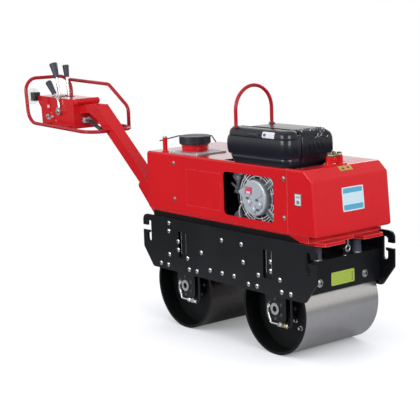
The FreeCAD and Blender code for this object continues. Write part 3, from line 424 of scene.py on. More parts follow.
# --- shapes
def lathe(profile, segments=32):
    """A shape turned about Z from (radius, height) pairs. Its ends are closed to the axis,
    unless the profile comes back to its first point."""
    if profile[0] != profile[-1]:
        ends = [(0, profile[i][1]) for i in (0, -1)]
        profile = list(dict.fromkeys([ends[0], *profile, ends[1]]))
    bm = bmesh.new()
    turns = [math.tau * i / segments for i in range(segments)]
    rings = [[bm.verts.new((radius * math.cos(a), radius * math.sin(a), height))
              for a in (turns if radius else [0])] for radius, height in profile]
    for low, high in zip(rings, rings[1:]):
        for i in range(segments):
            j = (i + 1) % segments
            ring = [low[i % len(low)], low[j % len(low)], high[j % len(high)], high[i % len(high)]]
            bm.faces.new(list(dict.fromkeys(ring)))
    bmesh.ops.recalc_face_normals(bm, faces=bm.faces)
    return bm


def stack(levels):
    """A shape through equal rings of points, one above the other, closed below and above."""
    bm = bmesh.new()
    rings = [[bm.verts.new(point) for point in level] for level in levels]
    for below, over in zip(rings, rings[1:]):
        for i in range(len(below)):
            j = (i + 1) % len(below)
            bm.faces.new([below[i], below[j], over[j], over[i]])
    bm.faces.new(rings[0][::-1])
    bm.faces.new(rings[-1])
    bmesh.ops.recalc_face_normals(bm, faces=bm.faces)
    return bm


def block(low, high, bevel=0.0):
    """A box between two corners with rounded edges."""
    bm = bmesh.new()
    low, high = Vector(low), Vector(high)
    shape = Matrix.Translation((low + high) / 2) @ Matrix.Diagonal((*(high - low), 1))
    bmesh.ops.create_cube(bm, size=1, matrix=shape)
    if bevel:
        bmesh.ops.bevel(bm, geom=bm.edges[:], offset=bevel, segments=2, profile=0.5, affect="EDGES")
    return bm


def prism(outline, depth, bevel):
    """An outline in the XY plane raised to the given depth, with its upper edges rounded.
    They are rounded in metres, where the bevel closes its smallest corners."""
    bm = bmesh.new()
    face = bm.faces.new([bm.verts.new((x, y, 0)) for x, y in outline])
    raised = bmesh.ops.extrude_face_region(bm, geom=[face])["geom"]
    bmesh.ops.translate(bm, vec=(0, 0, depth), verts=[v for v in raised if isinstance(v, bmesh.types.BMVert)])
    bmesh.ops.recalc_face_normals(bm, faces=bm.faces)
    top = [e for e in bm.edges if all(v.co.z > depth / 2 for v in e.verts)]
    moved(bm, Matrix.Scale(MM, 4))
    bmesh.ops.bevel(bm, geom=top, offset=bevel * MM, segments=2, profile=0.5, affect="EDGES")
    return moved(bm, Matrix.Scale(1 / MM, 4))


def mesh_of(name, bm):
    mesh = bpy.data.meshes.new(name)
    bm.to_mesh(mesh)
    bm.free()
    return mesh


def together(parts):
    whole = bmesh.new()
    for part in parts:
        mesh = mesh_of("part", part)
        whole.from_mesh(mesh)
        bpy.data.meshes.remove(mesh)
    return whole


def moved(bm, matrix):
    bmesh.ops.transform(bm, matrix=matrix, verts=bm.verts)
    return bm


def facing(point, outward, up=Z):
    """Matrix that stands a shape on a point with its Z axis outward and its Y axis near up."""
    outward = outward.normalized()
    if abs(outward.dot(up)) > 0.99:
        up = X
    across = up.cross(outward).normalized()
    matrix = Matrix((across, outward.cross(across), outward)).transposed().to_4x4()
    matrix.translation = point
    return matrix


def placed(bm, point, outward=None, up=Z):
    """Stands a shape on a point, along outward where that is given."""
    return moved(bm, facing(point, outward, up) if outward else Matrix.Translation(point))


def harvest(holder):
    """A plain mesh of what a curve or a modifier makes; the object that held it goes."""
    bpy.context.view_layer.update()
    mesh = bpy.data.meshes.new_from_object(holder.evaluated_get(bpy.context.evaluated_depsgraph_get()))
    bpy.data.objects.remove(holder)
    return mesh


def pipe(points, radius):
    """A round bar or hose that runs smoothly near its points."""
    curve = bpy.data.curves.new("pipe", "CURVE")
    curve.dimensions, curve.use_fill_caps, curve.resolution_u = "3D", True, 8
    curve.bevel_depth, curve.bevel_resolution = radius, 4
    spline = curve.splines.new("NURBS")
    spline.points.add(len(points) - 1)
    for knot, point in zip(spline.points, points):
        knot.co = (*point, 1)
    spline.order_u, spline.use_endpoint_u = 3, True
    bm = bmesh.new()
    bm.from_mesh(harvest(add("pipe", curve)))
    bmesh.ops.remove_doubles(bm, verts=bm.verts, dist=0.001)
    bmesh.ops.recalc_face_normals(bm, faces=bm.faces)
    return bm


def stand(name, mesh, slot, body, smooth):
    """Puts a finished mesh in the scene, on its body. The slot is not used."""
    mesh.name = name
    mesh.transform(Matrix.Scale(MM, 4))
    mesh.polygons.foreach_set("use_smooth", [True] * len(mesh.polygons))
    mesh.set_sharp_from_angle(angle=math.radians(smooth))
    thing = add(name, mesh)
    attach(thing, body)
    return thing


def piece(name, shapes, slot, material=None, body="chassis", smooth=38):
    """A piece from one shape or a list of them, in its slot's finish unless another is named."""
    mesh = mesh_of(name, together(shapes) if isinstance(shapes, list) else shapes)
    mesh.materials.append(materials[material or slot])
    return stand(name, mesh, slot, body, smooth)


def skin(shape):
    """The surface of a CAD node or a piece, to find where things sit on it."""
    mesh = nodes[shape].data if isinstance(shape, str) else shape.data
    return BVHTree.FromPolygons([v.co / MM for v in mesh.vertices], [p.vertices for p in mesh.polygons])


def land(surface, point, inward, above=60):
    """Where a straight line inward through the point meets the surface, and the normal there."""
    met, normal = surface.ray_cast(point - inward * above, inward)[:2]
    if met is None:
        return point, -inward
    return met, normal if normal.dot(inward) < 0 else -normal


def label(name, node, centre, outward, size, slot, body="chassis", steps=(8, 6), thickness=0.5):
    """A film stuck on a CAD node or a piece, following its surface, with its own UV map."""
    surface, pose = skin(node), facing(centre, outward)
    across, upward, normal = (pose.col[i].to_3d() for i in range(3))
    bm = bmesh.new()
    uv = bm.loops.layers.uv.new("label")
    bmesh.ops.create_grid(bm, x_segments=steps[0], y_segments=steps[1], size=0.5)
    raised = set(bmesh.ops.extrude_face_region(bm, geom=bm.faces[:])["geom"])
    for loop in (loop for face in bm.faces for loop in face.loops):
        loop[uv].uv = loop.vert.co.xy + Vector((0.5, 0.5))
    for vert in bm.verts:
        u, v = vert.co.xy
        inset = 0.98 if min(abs(u), abs(v)) > 0.499 else 1.0
        foot = land(surface, centre + (across * size[0] * u + upward * size[1] * v) * inset, -normal)[0]
        vert.co = foot + normal * thickness * (1 if vert in raised else 0.1)
    bmesh.ops.recalc_face_normals(bm, faces=bm.faces)
    piece(name, bm, slot, name, body)


# --- geometry node trees
def new_growth(name, **inputs):
    return new_group("Geometry", name, {"Base": "Geometry", **spaced(inputs), "Finish": "Material"},
                     {"Result": "Geometry"})


def copies(web, points, instance, **pose):
    return web.put("GeometryNodeInstanceOnPoints", {"Points": points, "Instance": instance, **pose})[0]


def close_growth(web, given, instances):
    whole = web.put("GeometryNodeRealizeInstances", {0: instances})[0]
    finished = web.put("GeometryNodeSetMaterial", {"Geometry": whole, "Material": given["Finish"]})[0]
    web.put("NodeGroupOutput", {0: finished})
    return web.tree


def fasteners():
    """Copies of one fastener on every place, standing along the place's facing and turned by chance."""
    web, given = new_growth("fasteners", Fastener="Object", Twist=6.283, Seed=1)
    heading = web.put("GeometryNodeInputNamedAttribute", {"Name": "facing"}, data_type="FLOAT_VECTOR")[0]
    upright = web.put("FunctionNodeAlignRotationToVector", {"Vector": heading}, axis="Z")[0]
    chance = web.put("FunctionNodeRandomValue", {"Seed": given["Seed"]}, data_type="FLOAT")[1]
    angle = web.times(chance, given["Twist"])
    spin = web.put("FunctionNodeAxisAngleToRotation", {"Axis": (0, 0, 1), "Angle": angle})[0]
    pose = web.put("FunctionNodeRotateRotation", {"Rotation": upright, "Rotate By": spin},
                   rotation_space="LOCAL")[0]
    shape = web.put("GeometryNodeObjectInfo", {"Object": given["Fastener"]})["Geometry"]
    return close_growth(web, given, copies(web, given["Base"], shape, Rotation=pose))


def ribs_around():
    """Upright ribs around a circle at the base's only point."""
    web, given = new_growth("ribs_around", Count=36, Radius=70.0, Rib_Depth=2.0, Rib_Width=3.0,
                            Rib_Height=30.0)
    ring = web.put("GeometryNodeMeshCircle", {"Vertices": given["Count"], "Radius": given["Radius"]})[0]
    size = web.put("CombineXYZ", enumerate(given["Rib " + way] for way in ("Depth", "Width", "Height")))[0]
    rib = web.put("GeometryNodeMeshCube", {"Size": size})[0]
    place = web.put("GeometryNodeInputPosition")[0]
    outward = web.put("FunctionNodeAlignRotationToVector", {"Vector": place}, axis="X")[0]
    solid = web.put("GeometryNodeRealizeInstances", {0: copies(web, ring, rib, Rotation=outward)})[0]
    return close_growth(web, given, copies(web, given["Base"], solid))


def weld_bead():
    """A row of small overlapping beads along the base's edges."""
    web, given = new_growth("weld_bead", Step=2.4, Bead_Radius=2.8, Seed=4)
    path = web.put("GeometryNodeMeshToCurve", {"Mesh": given["Base"]})[0]
    steps = web.put("GeometryNodeResampleCurve", {"Curve": path, "Length": given["Step"]}, mode="LENGTH")[0]
    bead = web.put("GeometryNodeMeshIcoSphere", {"Radius": given["Bead Radius"], "Subdivisions": 2})[0]
    size = web.put("FunctionNodeRandomValue", {2: 0.85, 3: 1.12, "Seed": given["Seed"]}, data_type="FLOAT")[1]
    return close_growth(web, given, copies(web, steps, bead, Scale=size))


TREES = {"fasteners": fasteners(), "ribs": ribs_around(), "weld": weld_bead()}


def bare_mesh(name, points, edges=()):
    mesh = bpy.data.meshes.new(name)
    mesh.from_pydata(points, edges, [])
    return mesh


def grow(name, tree_key, base, slot, material=None, body="chassis", smooth=38, **inputs):
    """Runs a geometry node tree on a base mesh and keeps the result as a plain mesh."""
    holder = add(name + "_base", base)
    modifier = holder.modifiers.new("grow", "NODES")
    modifier.node_group = TREES[tree_key]
    sockets = {item.name: item.identifier for item in TREES[tree_key].interface.items_tree
               if item.item_type == "SOCKET" and item.in_out == "INPUT"}
    for socket_name, value in spaced({**inputs, "Finish": materials[material or slot]}).items():
        modifier[sockets[socket_name]] = value
    return stand(name, harvest(holder), slot, body, smooth)


def scatter(name, shape, places, seed, slot="bright_steel", material=None, body="chassis"):
    """Copies of a fastener at (point, outward) places."""
    base = bare_mesh(name, [point for point, _ in places])
    heading = base.attributes.new("facing", "FLOAT_VECTOR", "POINT")
    for item, (_, outward) in zip(heading.data, places):
        item.vector = outward
    pattern = add("pattern", mesh_of("pattern", shape))
    grow(name, "fasteners", base, slot, material, body, Fastener=pattern, Twist=6.283, Seed=seed)
    bpy.data.objects.remove(pattern)


# --- fastener shapes
def sized(radius, height, profile, segments):
    """A turned shape from a profile in parts of its radius and height."""
    return lathe([(radius * r, height * h) for r, h in profile], segments)


def button_screw(radius, height):
    """Low domed head with a round socket, on a thin washer."""
    return sized(radius, height, ((1.18, 0), (1.18, 0.22), (1, 0.26), (0.97, 0.62), (0.78, 0.9), (0.52, 1),
                                  (0.44, 1), (0.44, 0.55)), 24)


def hex_bolt(radius, height, washer=1.35):
    """Hexagon head with a chamfered top, standing on a washer."""
    return together([sized(radius, height, ((washer, 0), (washer, 0.2), (0.9, 0.24)), 28),
                     sized(radius, height, ((1, 0.2), (1, 0.85), (0.86, 1)), 6)])


def pan_screw(radius, height):
    """Pan head on a thin washer."""
    return sized(radius, height, ((1.3, 0), (1.3, 0.2), (1, 0.24), (1, 0.7), (0.8, 0.93), (0.45, 1)), 24)


def capped_nut(radius, height):
    """Hexagon nut with a dome."""
    dome = ((0, 0.4), (0.84, 0.45), (0.84, 0.6), (0.7, 0.85), (0.4, 0.97), (0, 1))
    return together([sized(radius, height, ((1, 0), (1, 0.45)), 6), sized(radius, height, dome, 20)])


def plain_disc(radius, height, segments=18):
    return sized(radius, height, ((1, 0), (1, 0.7), (0.88, 1)), segments)


# --- chassis trim
# Screws of a side plate: height, and how far ahead of the middle.
SIDE_ROWS = ((289.5, (-462, -406, -247, -190, 170, 227, 384, 441)), (309.5, (-94, -9, 74)),
             (340.5, (-394, -257, 237, 374)), (382, (-154, 138)), (459.5, (-7, 128)), (451, (-394,)),
             (489, (-391,)))
STRIP_SCREWS = ((-325, 371), (-325, 410), (306, 367), (306, 407))
STRIP_EDGES = (-313, -279, 279, 313)


def side_plate_trim():
    for name, side in SIDES.items():
        plate, outward = "side_plate_" + name, Y * side
        face, top, surface = outer_face(plate, side), box(plate)[1].z, skin(plate)
        points = [at(x, face, z) for z, row in SIDE_ROWS for x in row]
        points += [land(surface, at(x, face, z), -outward)[0] for x, z in STRIP_SCREWS]
        scatter("side_screws_" + name, button_screw(9.2, 4.5), [(p, outward) for p in points], 2)
        # Dark discs in the screws' sockets: painted shade in the recesses.
        sockets = [(p + outward * 2.1, outward) for p in points]
        scatter("side_sockets_" + name, plain_disc(3.9, 0.6, 6), sockets, 2, "black_plastic", "dark_socket")
        # Bright steel lines along the strips' edges: painted highlights on those edges.
        edges = [pipe([at(x, face - side * 9.8, top - drop) for drop in (158, 107, 56)], 1.6)
                 for x in STRIP_EDGES]
        piece("strip_edges_" + name, edges, "black_paint", "worn_edge")


def cross_plate_trim():
    front, rear = box("front_crossmember")[1].x, box("rear_crossmember")[0].x
    bolts = [(spot(x, side * y, 331), outward) for x, y, outward in ((front, 133, X), (rear, 160, -X))
             for side in (-1, 1)]
    scatter("cross_plate_bolts", hex_bolt(11.5, 10, 1.5), bolts, 5)
    # Dark discs in the bolt heads: painted shade in the recesses.
    scatter("cross_plate_recesses", plain_disc(5.8, 0.6, 20), [(p + n * 9.9, n) for p, n in bolts], 5,
            "black_plastic", "dark_socket")
    label("front_label", "front_crossmember", spot(front, 2.5, 335.5), X, (137, 57), "black_paint")

    shelf, stud_y = box("frame_floor")[1].z, 29
    stud = [spot(front - 18, stud_y, shelf + rise) for rise in (0, 30, 58)]
    piece("transport_stud", pipe(stud, 5), "bright_steel")
    scatter("transport_nuts", hex_bolt(10, 10, 1.45), [(stud[1], Z), (stud[0], Z)], 9)
    eye = spot(front + 4, stud_y, 458)
    ring = [eye + spot(0, math.sin(a), math.cos(a)) * 12.5 for a in (math.tau * i / 14 for i in range(15))]
    shank = pipe([eye + Z * rise for rise in (10, 30, 58)], 4.5)
    piece("transport_eye", [pipe(ring, 4.2), shank], "bright_steel", "worn_edge")
    corner = box("platform")[1]
    tab = land(skin("platform"), spot(corner.x - 14, 178, corner.z), -Z)[0]
    piece("tab_strip", block((tab.x - 9, 148, tab.z), (tab.x + 10, 206, tab.z + 1.2), 0.4), "grey_paint")
    piece("stud_bracket", [block((front - x, y, shelf), (front - 7, 66, shelf + 60), 1)
                           for x, y in ((12, 20), (60, 60))], "black_paint")
    low, high = box("rubber_buffers")
    plates = [placed(lathe([(30, 0), (30, 3)]), (x, y, low.z))
              for y in (low.y + 25, high.y - 25) for x in (low.x + 25, high.x - 25)]
    piece("buffer_plates", plates, "bright_steel", "axle_steel")


def ring_places(axle, radius, reach, count, start=0.0):
    """Places in a circle round an axle, out at the given reach on both sides."""
    turns = [math.tau * (i + start) / count for i in range(count)]
    return [(spot(axle.x + radius * math.cos(a), side * reach, axle.z + radius * math.sin(a)), Y * side)
            for side in (-1, 1) for a in turns]


def hanger_trim():
    """Bolt rings on the drums' hangers and on the webs inside the drums, and plugs on the front webs."""
    for end in ("front", "rear"):
        axle, (low, high) = middle(end + "_axle"), box(end + "_drum")
        scatter(end + "_hanger_bolts", hex_bolt(5.5, 6), ring_places(axle, 43, 206, 6, 0.5), 11,
                "black_paint", "black_zinc")
        web_face = (high.y - low.y) / 2 - 67
        scatter(end + "_web_bolts", hex_bolt(6.5, 3.5), ring_places(axle, 60, web_face, 8), 13,
                "axle_steel", "casting", end + "_drum")
    axle = middle("front_axle")
    plugs = [(spot(axle.x + x, side * 140, axle.z + z), Y * side) for side in (-1, 1)
             for x, z in ((30, -31), (58, -52), (88, -82))]
    scatter("front_drum_plugs", hex_bolt(7.8, 16), plugs, 14, "axle_steel", "bright_steel", "front_drum")


def hub_trim():
    """Union nuts and collars on the right-hand hub pipes; the front ones are brass."""
    pipe_y, steel, brass, collars = -215.5, [], [], []
    for end, alloy in (("front", brass), ("rear", steel)):
        axle = middle(end + "_axle")
        first, collar, *rest = [(spot(axle.x + x, pipe_y, axle.z - 62), X) for x in (36, 49, 62, 82)]
        steel.append(first)
        alloy += rest
        collars += [collar, (spot(axle.x - 39, pipe_y + 7.5, axle.z + 8), -Y)]
    nut = [(9.5, -8), (11, -6), (11, 6), (9.5, 8)]
    scatter("union_nuts", lathe(nut, 6), steel, 17)
    scatter("union_brass", lathe(nut, 6), brass, 17, "brass_parts")
    scatter("union_collars", lathe([(10.5, -4), (10.5, 4)], 20), collars, 17)


# --- hood trim
def hood_trim():
    rear = box("hood_deck")[0].x
    places = [(at(x, outer_face("hood_side_" + name, side), z), Y * side) for name, side in SIDES.items()
              for x in (-354, 397) for z in (606.5, 772)]
    places += [(spot(rear, y, z), -X) for y in (-160, 160) for z in (600, 760)]
    scatter("hood_screws", pan_screw(8, 4.2), places, 21, "bright_steel", "zinc")
    # A dark bar across each screw head: painted shade in its slot.
    slot = block((-6.4, -1.28, 3.4), (6.4, 1.28, 4.35))
    scatter("hood_screw_slots", slot, places, 21, "black_plastic", "dark_socket")

    low, high = box("hood_front")
    label("front_sticker", "hood_front", spot(high.x - 12, 4.5, 680.5), spot(232, 0, 21), (125, 101),
          "red_paint")
    label("brow_label", "hood_front", at(530.5, 4, 803.5), spot(41, 0, 47), (72, 29), "red_paint")
    label("side_label", "hood_front", at(481, low.y, 692), -Y, (42, 54), "red_paint")


def outline_bead():
    """The shallow pressed frame in each side panel, behind the window."""
    corners = ((-265, 588), (-19, 588), (-19, 754), (-265, 754))
    for name, side in SIDES.items():
        face = outer_face("hood_side_" + name, side)
        bars = []
        for (x0, z0), (x1, z1) in zip(corners, corners[1:] + corners[:1]):
            start = at(x0, face, z0)
            run = at(x1, face, z1) - start
            end = run.length
            bar = lathe([(0, -2.2), (1.6, -1.6), (1.2, 0), (1.2, end), (1.28, end + 1.2), (0, end + 2.2)], 12)
            bars.append(placed(bar, start, run, Y))
        flat = Matrix.Translation((0, face, 0)) @ Matrix.Diagonal((1, 0.35, 1, 1))
        bead = moved(together(bars), flat @ Matrix.Translation((0, -face, 0)))
        piece("pressed_frame_" + name, bead, "red_paint", "bead_red")


# --- engine trim
def starter_trim():
    fan = middle("fan_housing")
    centre = spot(fan.x, box("recoil_starter")[0].y, fan.z)
    label("starter_label", "recoil_starter", centre + spot(-30, 0, 31), -Y, (42, 32), "cast_aluminium",
          steps=(1, 1), thickness=2.2)

    def knobs(profile, segments, lift, squash, points):
        poses = (facing(centre + spot(x, lift, z), -Y) @ Matrix.Diagonal(squash) for x, z in points)
        return [moved(lathe(profile, segments), pose) for pose in poses]

    dome = [(12.5 * math.cos(a), 9 * math.sin(a)) for a in (math.pi / 2 * i / 8 for i in range(8))] + [(0, 9)]
    piece("starter_lobes", knobs(dome, 24, 1, (0.85, 1.25, 1, 1), ((-23, -20), (7, -49), (47, -26))),
          "cast_aluminium")
    # Small dark discs beside the lobes: painted shadow around the lobes.
    shadow_disc = [(8.5, 0), (8.5, 0.49), (7.48, 0.7)]
    piece("starter_wells", knobs(shadow_disc, 20, 0.4, (1, 0.7, 1, 1), ((-38, -3), (24, -6), (30, -48))),
          "black_plastic", "casting")


def guard_trim():
    """Straps, pads and bolts that hold the wire guard of the fan."""
    fan = middle("fan_housing")
    hub = spot(fan.x, box("fan_housing")[0].y, fan.z)
    strap = [(-14, -34), (14, -34), (15, 30), (-15, 30)]
    straps, pads, bolts = [], [], []
    for angle, reach in ((39, 100), (-38, 108)):
        outward = spot(math.cos(math.radians(angle)), 0, math.sin(math.radians(angle)))
        straps.append(placed(prism(strap, 6, 1.5), hub + outward * reach, -Y, outward))
        pad = prism([(x * 0.62, y * 0.72) for x, y in strap], 6.6, 0.4)
        pads.append(placed(pad, hub + outward * reach, -Y, outward))
        bolts.append((hub + outward * (reach + 16) - Y * 6.4, -Y))
    tip = prism([(-108, 22), (-104, 12), (-74, -12), (-70, 36)], 12, 2)
    straps.append(placed(tip, hub - Y * 8, -Y))
    bolts.append((hub + spot(-112, 0, 28), -Y))
    piece("guard_straps", straps, "cast_aluminium")
    piece("guard_pads", pads, "cast_aluminium", "casting")
    scatter("guard_bolts", hex_bolt(5.5, 5), bolts, 23)


def engine_side_trim():
    """Hose, cooling fins, air filter and throttle parts that show through the window."""
    engine, guard = box("engine_block")[0], box("fan_housing")[0].y

    def on_engine(x, y, z):
        return spot(engine.x + x, engine.y + y, z)

    def on_guard(x, y, z):
        return at(x, guard + y, z)

    hose = ((100, -4, 640), (86, -10, 625), (74, -12, 600), (76, -10, 570), (84, 0, 548))
    piece("breather_hose", pipe([on_guard(*p) for p in hose], 3.2), "clear_plastic", "pale_hose")
    fins = [block(on_engine(-22, 12, z), on_engine(12, 120, z + 3.5), 1) for z in range(600, 770, 10)]
    piece("cooling_fins", fins, "engine_black")
    filter_can = lathe([(30, 0), (34, 6), (34, 60), (28, 70), (0, 72)])
    spout = lathe([(8, 0), (8, 50), (11, 52), (11, 60)], 20)
    piece("engine_side_parts", [
        block(on_engine(-50, -4, 690), on_engine(20, 10, 740), 3),
        block(on_engine(-32, -12, 640), on_engine(-10, 12, 720), 4),
        block(on_guard(48, 10, 696), on_guard(92, 30, 722), 4),
        placed(lathe([(17, 0), (19, 3), (19, 30)], 28), on_guard(60, 30, 738), -Y),
        placed(spout, on_guard(90, 20, 722), spot(-0.3, 0, 1)),
        placed(filter_can, on_engine(-20, 50, 560), -Y)], "engine_black", "casting")
    cable = ((46, 16, 724), (34, 10, 690), (14, 14, 668), (-4, 30, 664))
    lever = block((-26, -5, 0), (26, 5, 6), 2)
    piece("throttle_linkage", [
        block(on_guard(10, 20, 716), on_guard(52, 38, 736), 4),
        placed(lever, on_guard(28, 10, 700), -Y, spot(0.5, 0, 1)),
        placed(lathe([(12, 0), (14, 2), (14, 26)], 24), on_guard(26, 36, 742), -Y),
        placed(lathe([(7, 0), (9, 2), (9, 20)], 20), on_guard(40, 26, 676), -Y),
        pipe([on_guard(*p) for p in cable], 3.5)], "engine_black", "casting")


def shade_sheets():
    """Black sheets inside the hood, and black strips along the platform's sides below it: painted shade, for
    the shadow inside the hood and in the gap under its sides.
    """
    low, high = box("hood_side_left")
    floor = box("platform")[1].z
    wall, top, rear, front = high.y - 6, high.z - 14, low.x + 12, high.x - 12
    piece("foam_lining", [
        block((rear, wall - 12, floor + 2), (front, wall, top), 3),
        block((rear, -wall + 10, floor + 2), (rear + 12, wall - 14, top), 3),
        block((rear + 14, -wall + 16, floor + 1), (front, wall - 14, floor + 6), 2)], "black_rubber", "foam")
    low, high = box("platform")
    for name, side in SIDES.items():
        face = outer_face("platform", side)
        y0, y1 = sorted((face - side * 0.5, face + side * 1.8))
        shade_strip = block((low.x + 55, y0, low.z - 0.5), (high.x - 53, y1, high.z - 7.5), 0.6)
        for vert in shade_strip.verts:
            if vert.co.x > high.x - 100 and vert.co.z > (low.z + high.z) / 2 - 4:
                vert.co.x -= 115
        piece("platform_seal_" + name, shade_strip, "black_rubber", "foam")


def engine_bolts():
    guard = box("fan_housing")[0].y
    scatter("engine_bolts", hex_bolt(7, 7), [(at(67, guard + 10, 702), -Y), (at(60, guard, 738), -Y)], 25)


# --- engine covers
def rounded_ring(x0, x1, y0, y1, z, right_radius, left_radius, steps=8):
    """Points round a rectangle at height z; its right-hand and left-hand corners have their own radius."""
    points = []
    for radius, cx, cy, start in ((right_radius, x1 - right_radius, y0 + right_radius, -90),
                                  (left_radius, x1 - left_radius, y1 - left_radius, 0),
                                  (left_radius, x0 + left_radius, y1 - left_radius, 90),
                                  (right_radius, x0 + right_radius, y0 + right_radius, 180)):
        for turn in (math.radians(start + 90 * i / steps) for i in range(steps + 1)):
            points.append((cx + radius * math.cos(turn), cy + radius * math.sin(turn), z))
    return points


def moulded_cover():
    """The barrel-shaped engine cover: foot, waist and crown with grooves between them."""
    low, high = box("engine_cover")
    body_left, sill = high.y - 17, box("hood_deck")[1].z + 2
    # For each height: steps up from it, and how far the rear, right and front faces stand in there.
    levels = (
        (sill, ((0, 34, 10, 8), (16, 27, 6, 5))),
        (low.z + 47, ((-3, 21, 4, 4), (-1.5, 22, 5, 5), (-0.8, 24.2, 7.2, 7.2), (0.8, 12.2, 6.2, 7.2),
                      (1.5, 8, 3, 4), (6, 5, 1.8, 2.5), (22, 1, 0.4, 0.6), (40, 0, 0, 0))),
        (high.z - 36, ((-22, 1, 0.4, 0.6), (-6, 5, 1.8, 2.5), (-1.5, 8, 3, 4), (-0.8, 12.2, 6.2, 7.2),
                       (0.8, 16.2, 7.2, 8.2), (1.5, 13, 4, 5), (6, 13, 4, 5))),
        (high.z, ((-16, 15, 6, 7), (-8, 19, 10, 11), (-3, 26, 17, 18), (-0.6, 35, 26, 27), (0, 50, 42, 42))))
    barrel = stack([rounded_ring(low.x - 13 + rear, high.x - front, low.y + right, body_left - right * 0.3,
                                 height + rise, max(12, 38 - 0.2 * right), 10)
                    for height, rows in levels for rise, rear, right, front in rows])
    neck = block((low.x + 49, body_left - 20, low.z), (high.x - 9, high.y, high.z - 19), 3)
    foot = block((low.x + 49, low.y + 20, low.z), (high.x - 22, body_left - 10, sill + 4), 2)
    cover = piece("moulded_cover", [barrel, neck, foot], "cover_plastic", smooth=50)
    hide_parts("engine_cover")
    return cover


def rounded_muffler_cover():
    """The second cover, crowned and rounded towards the front, sloping in under its left side."""
    low, high = box("muffler_cover")
    slope_height, slope_depth = 62, 46
    # For each height: steps up from it, and how far the rear and front faces stand in there.
    levels = ((low.z, ((0, 8), (20, 4), (45, 1), (slope_height, 0), (90, 0))),
              (high.z, ((-42, 1), (-28, 4), (-18, 8.5), (-10, 15), (-4, 24), (-1, 34), (0, 46))))
    rings = []
    for z, inset in ((height + rise, inset) for height, rows in levels for rise, inset in rows):
        under = slope_depth * max(0, 1 - (z - low.z) / slope_height)
        rings.append(rounded_ring(low.x + inset, high.x - inset, low.y + 0.2 * inset, high.y - under - inset,
                                  z, 8, 22))
    cover = piece("rounded_muffler_cover", stack(rings), "cover_metal", smooth=50)
    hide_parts("muffler_cover")
    return cover


def cover_trim():
    cover = moulded_cover()
    right = box("engine_cover")[0].y
    label("cover_label", cover, at(313.5, right + 2, 946.5), -Y, (75, 27), "cover_plastic", steps=(8, 12))
    latch = land(skin(cover), at(222, right, 944), Y)[0]
    handle = prism([(-36, -6), (36, -6), (30, 6), (-30, 6)], 5, 1.5)
    button = placed(plain_disc(7, 6, 20), latch + spot(30, 1, 4), -Y)
    piece("cover_latch", [placed(handle, latch + Y, -Y), button], "black_plastic")

    sheet = skin(rounded_muffler_cover())
    low, high = box("muffler_cover")
    perforate(sheet, low, high)
    louvre = [(0, -20), (3.5, -18), (4.8, -12), (4.8, 12), (3.5, 18), (0, 20)]
    lean = Matrix.Rotation(math.radians(8), 4, "X")
    feet = [land(sheet, spot(high.x, -94 + 24.5 * i, 896.5), -X)[0] - X * 1.5 for i in range(4)]
    piece("muffler_louvres", [moved(lathe(louvre, 14), Matrix.Translation(foot) @ lean) for foot in feet],
          "cover_metal")
    hoop = middle("lifting_hoop").x
    grommet = [(8.8, 0), (14.5, 0), (14.5, 3), (12.5, 5.5), (8.8, 5.5), (8.8, 0)]
    piece("hoop_grommets", [placed(lathe(grommet, 28), (hoop, outer_face("lifting_hoop", side) - side * 8,
                                                        high.z - 0.5)) for side in (-1, 1)], "black_rubber")


def perforate(sheet, low, high):
    """Rows of lipped holes over the front of the muffler cover; some lips are bright steel, painted glints,
    and every hole is a dark disc of painted shade.
    """
    lip = [(0, 0.1), (3.1, 0.1), (3.2, 1.1), (2.5, 1.4), (1.9, 0.6)]
    bend, raised, pressed = 32, [], []
    for row in range(9):
        tilt = math.radians(min(90, 14 * row - 6))
        inward = spot(-math.cos(tilt), 0, -math.sin(tilt))
        near_end = low.y if row >= 5 else high.y - 85 - 12 * (5 - row)
        for column in range(20):
            y = low.y + 12 + (column + 0.5 * (row % 2)) * 9.8
            if near_end <= y <= high.y - 34:
                start = spot(high.x - bend - 12.5 * max(0, row - 7), y, high.z - bend) - inward * bend
                (raised if (3 * row + 4 * column) % 7 < 2 else pressed).append(land(sheet, start, inward))
    # Bright lips are painted glints; the dark discs below are painted shade in the holes.
    scatter("punched_lips", lathe(lip, 12), raised, 31, "cover_metal", "punched")
    scatter("pressed_lips", lathe(lip, 12), pressed, 31, "cover_metal")
    scatter("punched_holes", plain_disc(1.9, 0.9, 10), raised + pressed, 31, "black_plastic", "dark_socket")


# --- filler and couplings
def filler_trim():
    low, high = box("filler_cap")
    centre, radius = middle("filler_cap"), (high.x - low.x) / 2
    grow("cap_ribs", "ribs", bare_mesh("cap_ribs", [centre]), "black_plastic", Count=40, Radius=radius - 0.6,
         Rib_Width=5.2, Rib_Depth=3.4, Rib_Height=(high.z - low.z) * 0.8)
    low, high = box("filler_neck")
    ring = [(radius - inset, rise)
            for inset, rise in ((12, 0), (7.5, 0), (6.5, 1.5), (7.5, 3), (12, 3), (12, 0))]
    piece("neck_rings", [placed(lathe(ring, 48), (centre.x, centre.y, z))
                         for z in (low.z + 1, low.z + 15, high.z - 5)], "red_paint")
    low, high = box("filler_plate")
    places = [(spot(x, y, high.z), Z) for x in (low.x + 13, high.x - 13) for y in (low.y + 13, high.y - 13)]
    scatter("filler_screws", button_screw(6, 4), places, 41)

    post, (low, high) = middle("lock_post"), box("lock_post")
    scatter("post_nut", capped_nut(8.8, 12.5), [(spot(post.x, post.y, high.z), Z)], 43)
    piece("post_flange", placed(plain_disc(18.5, 3.5, 28), (post.x, post.y, low.z)), "red_paint")


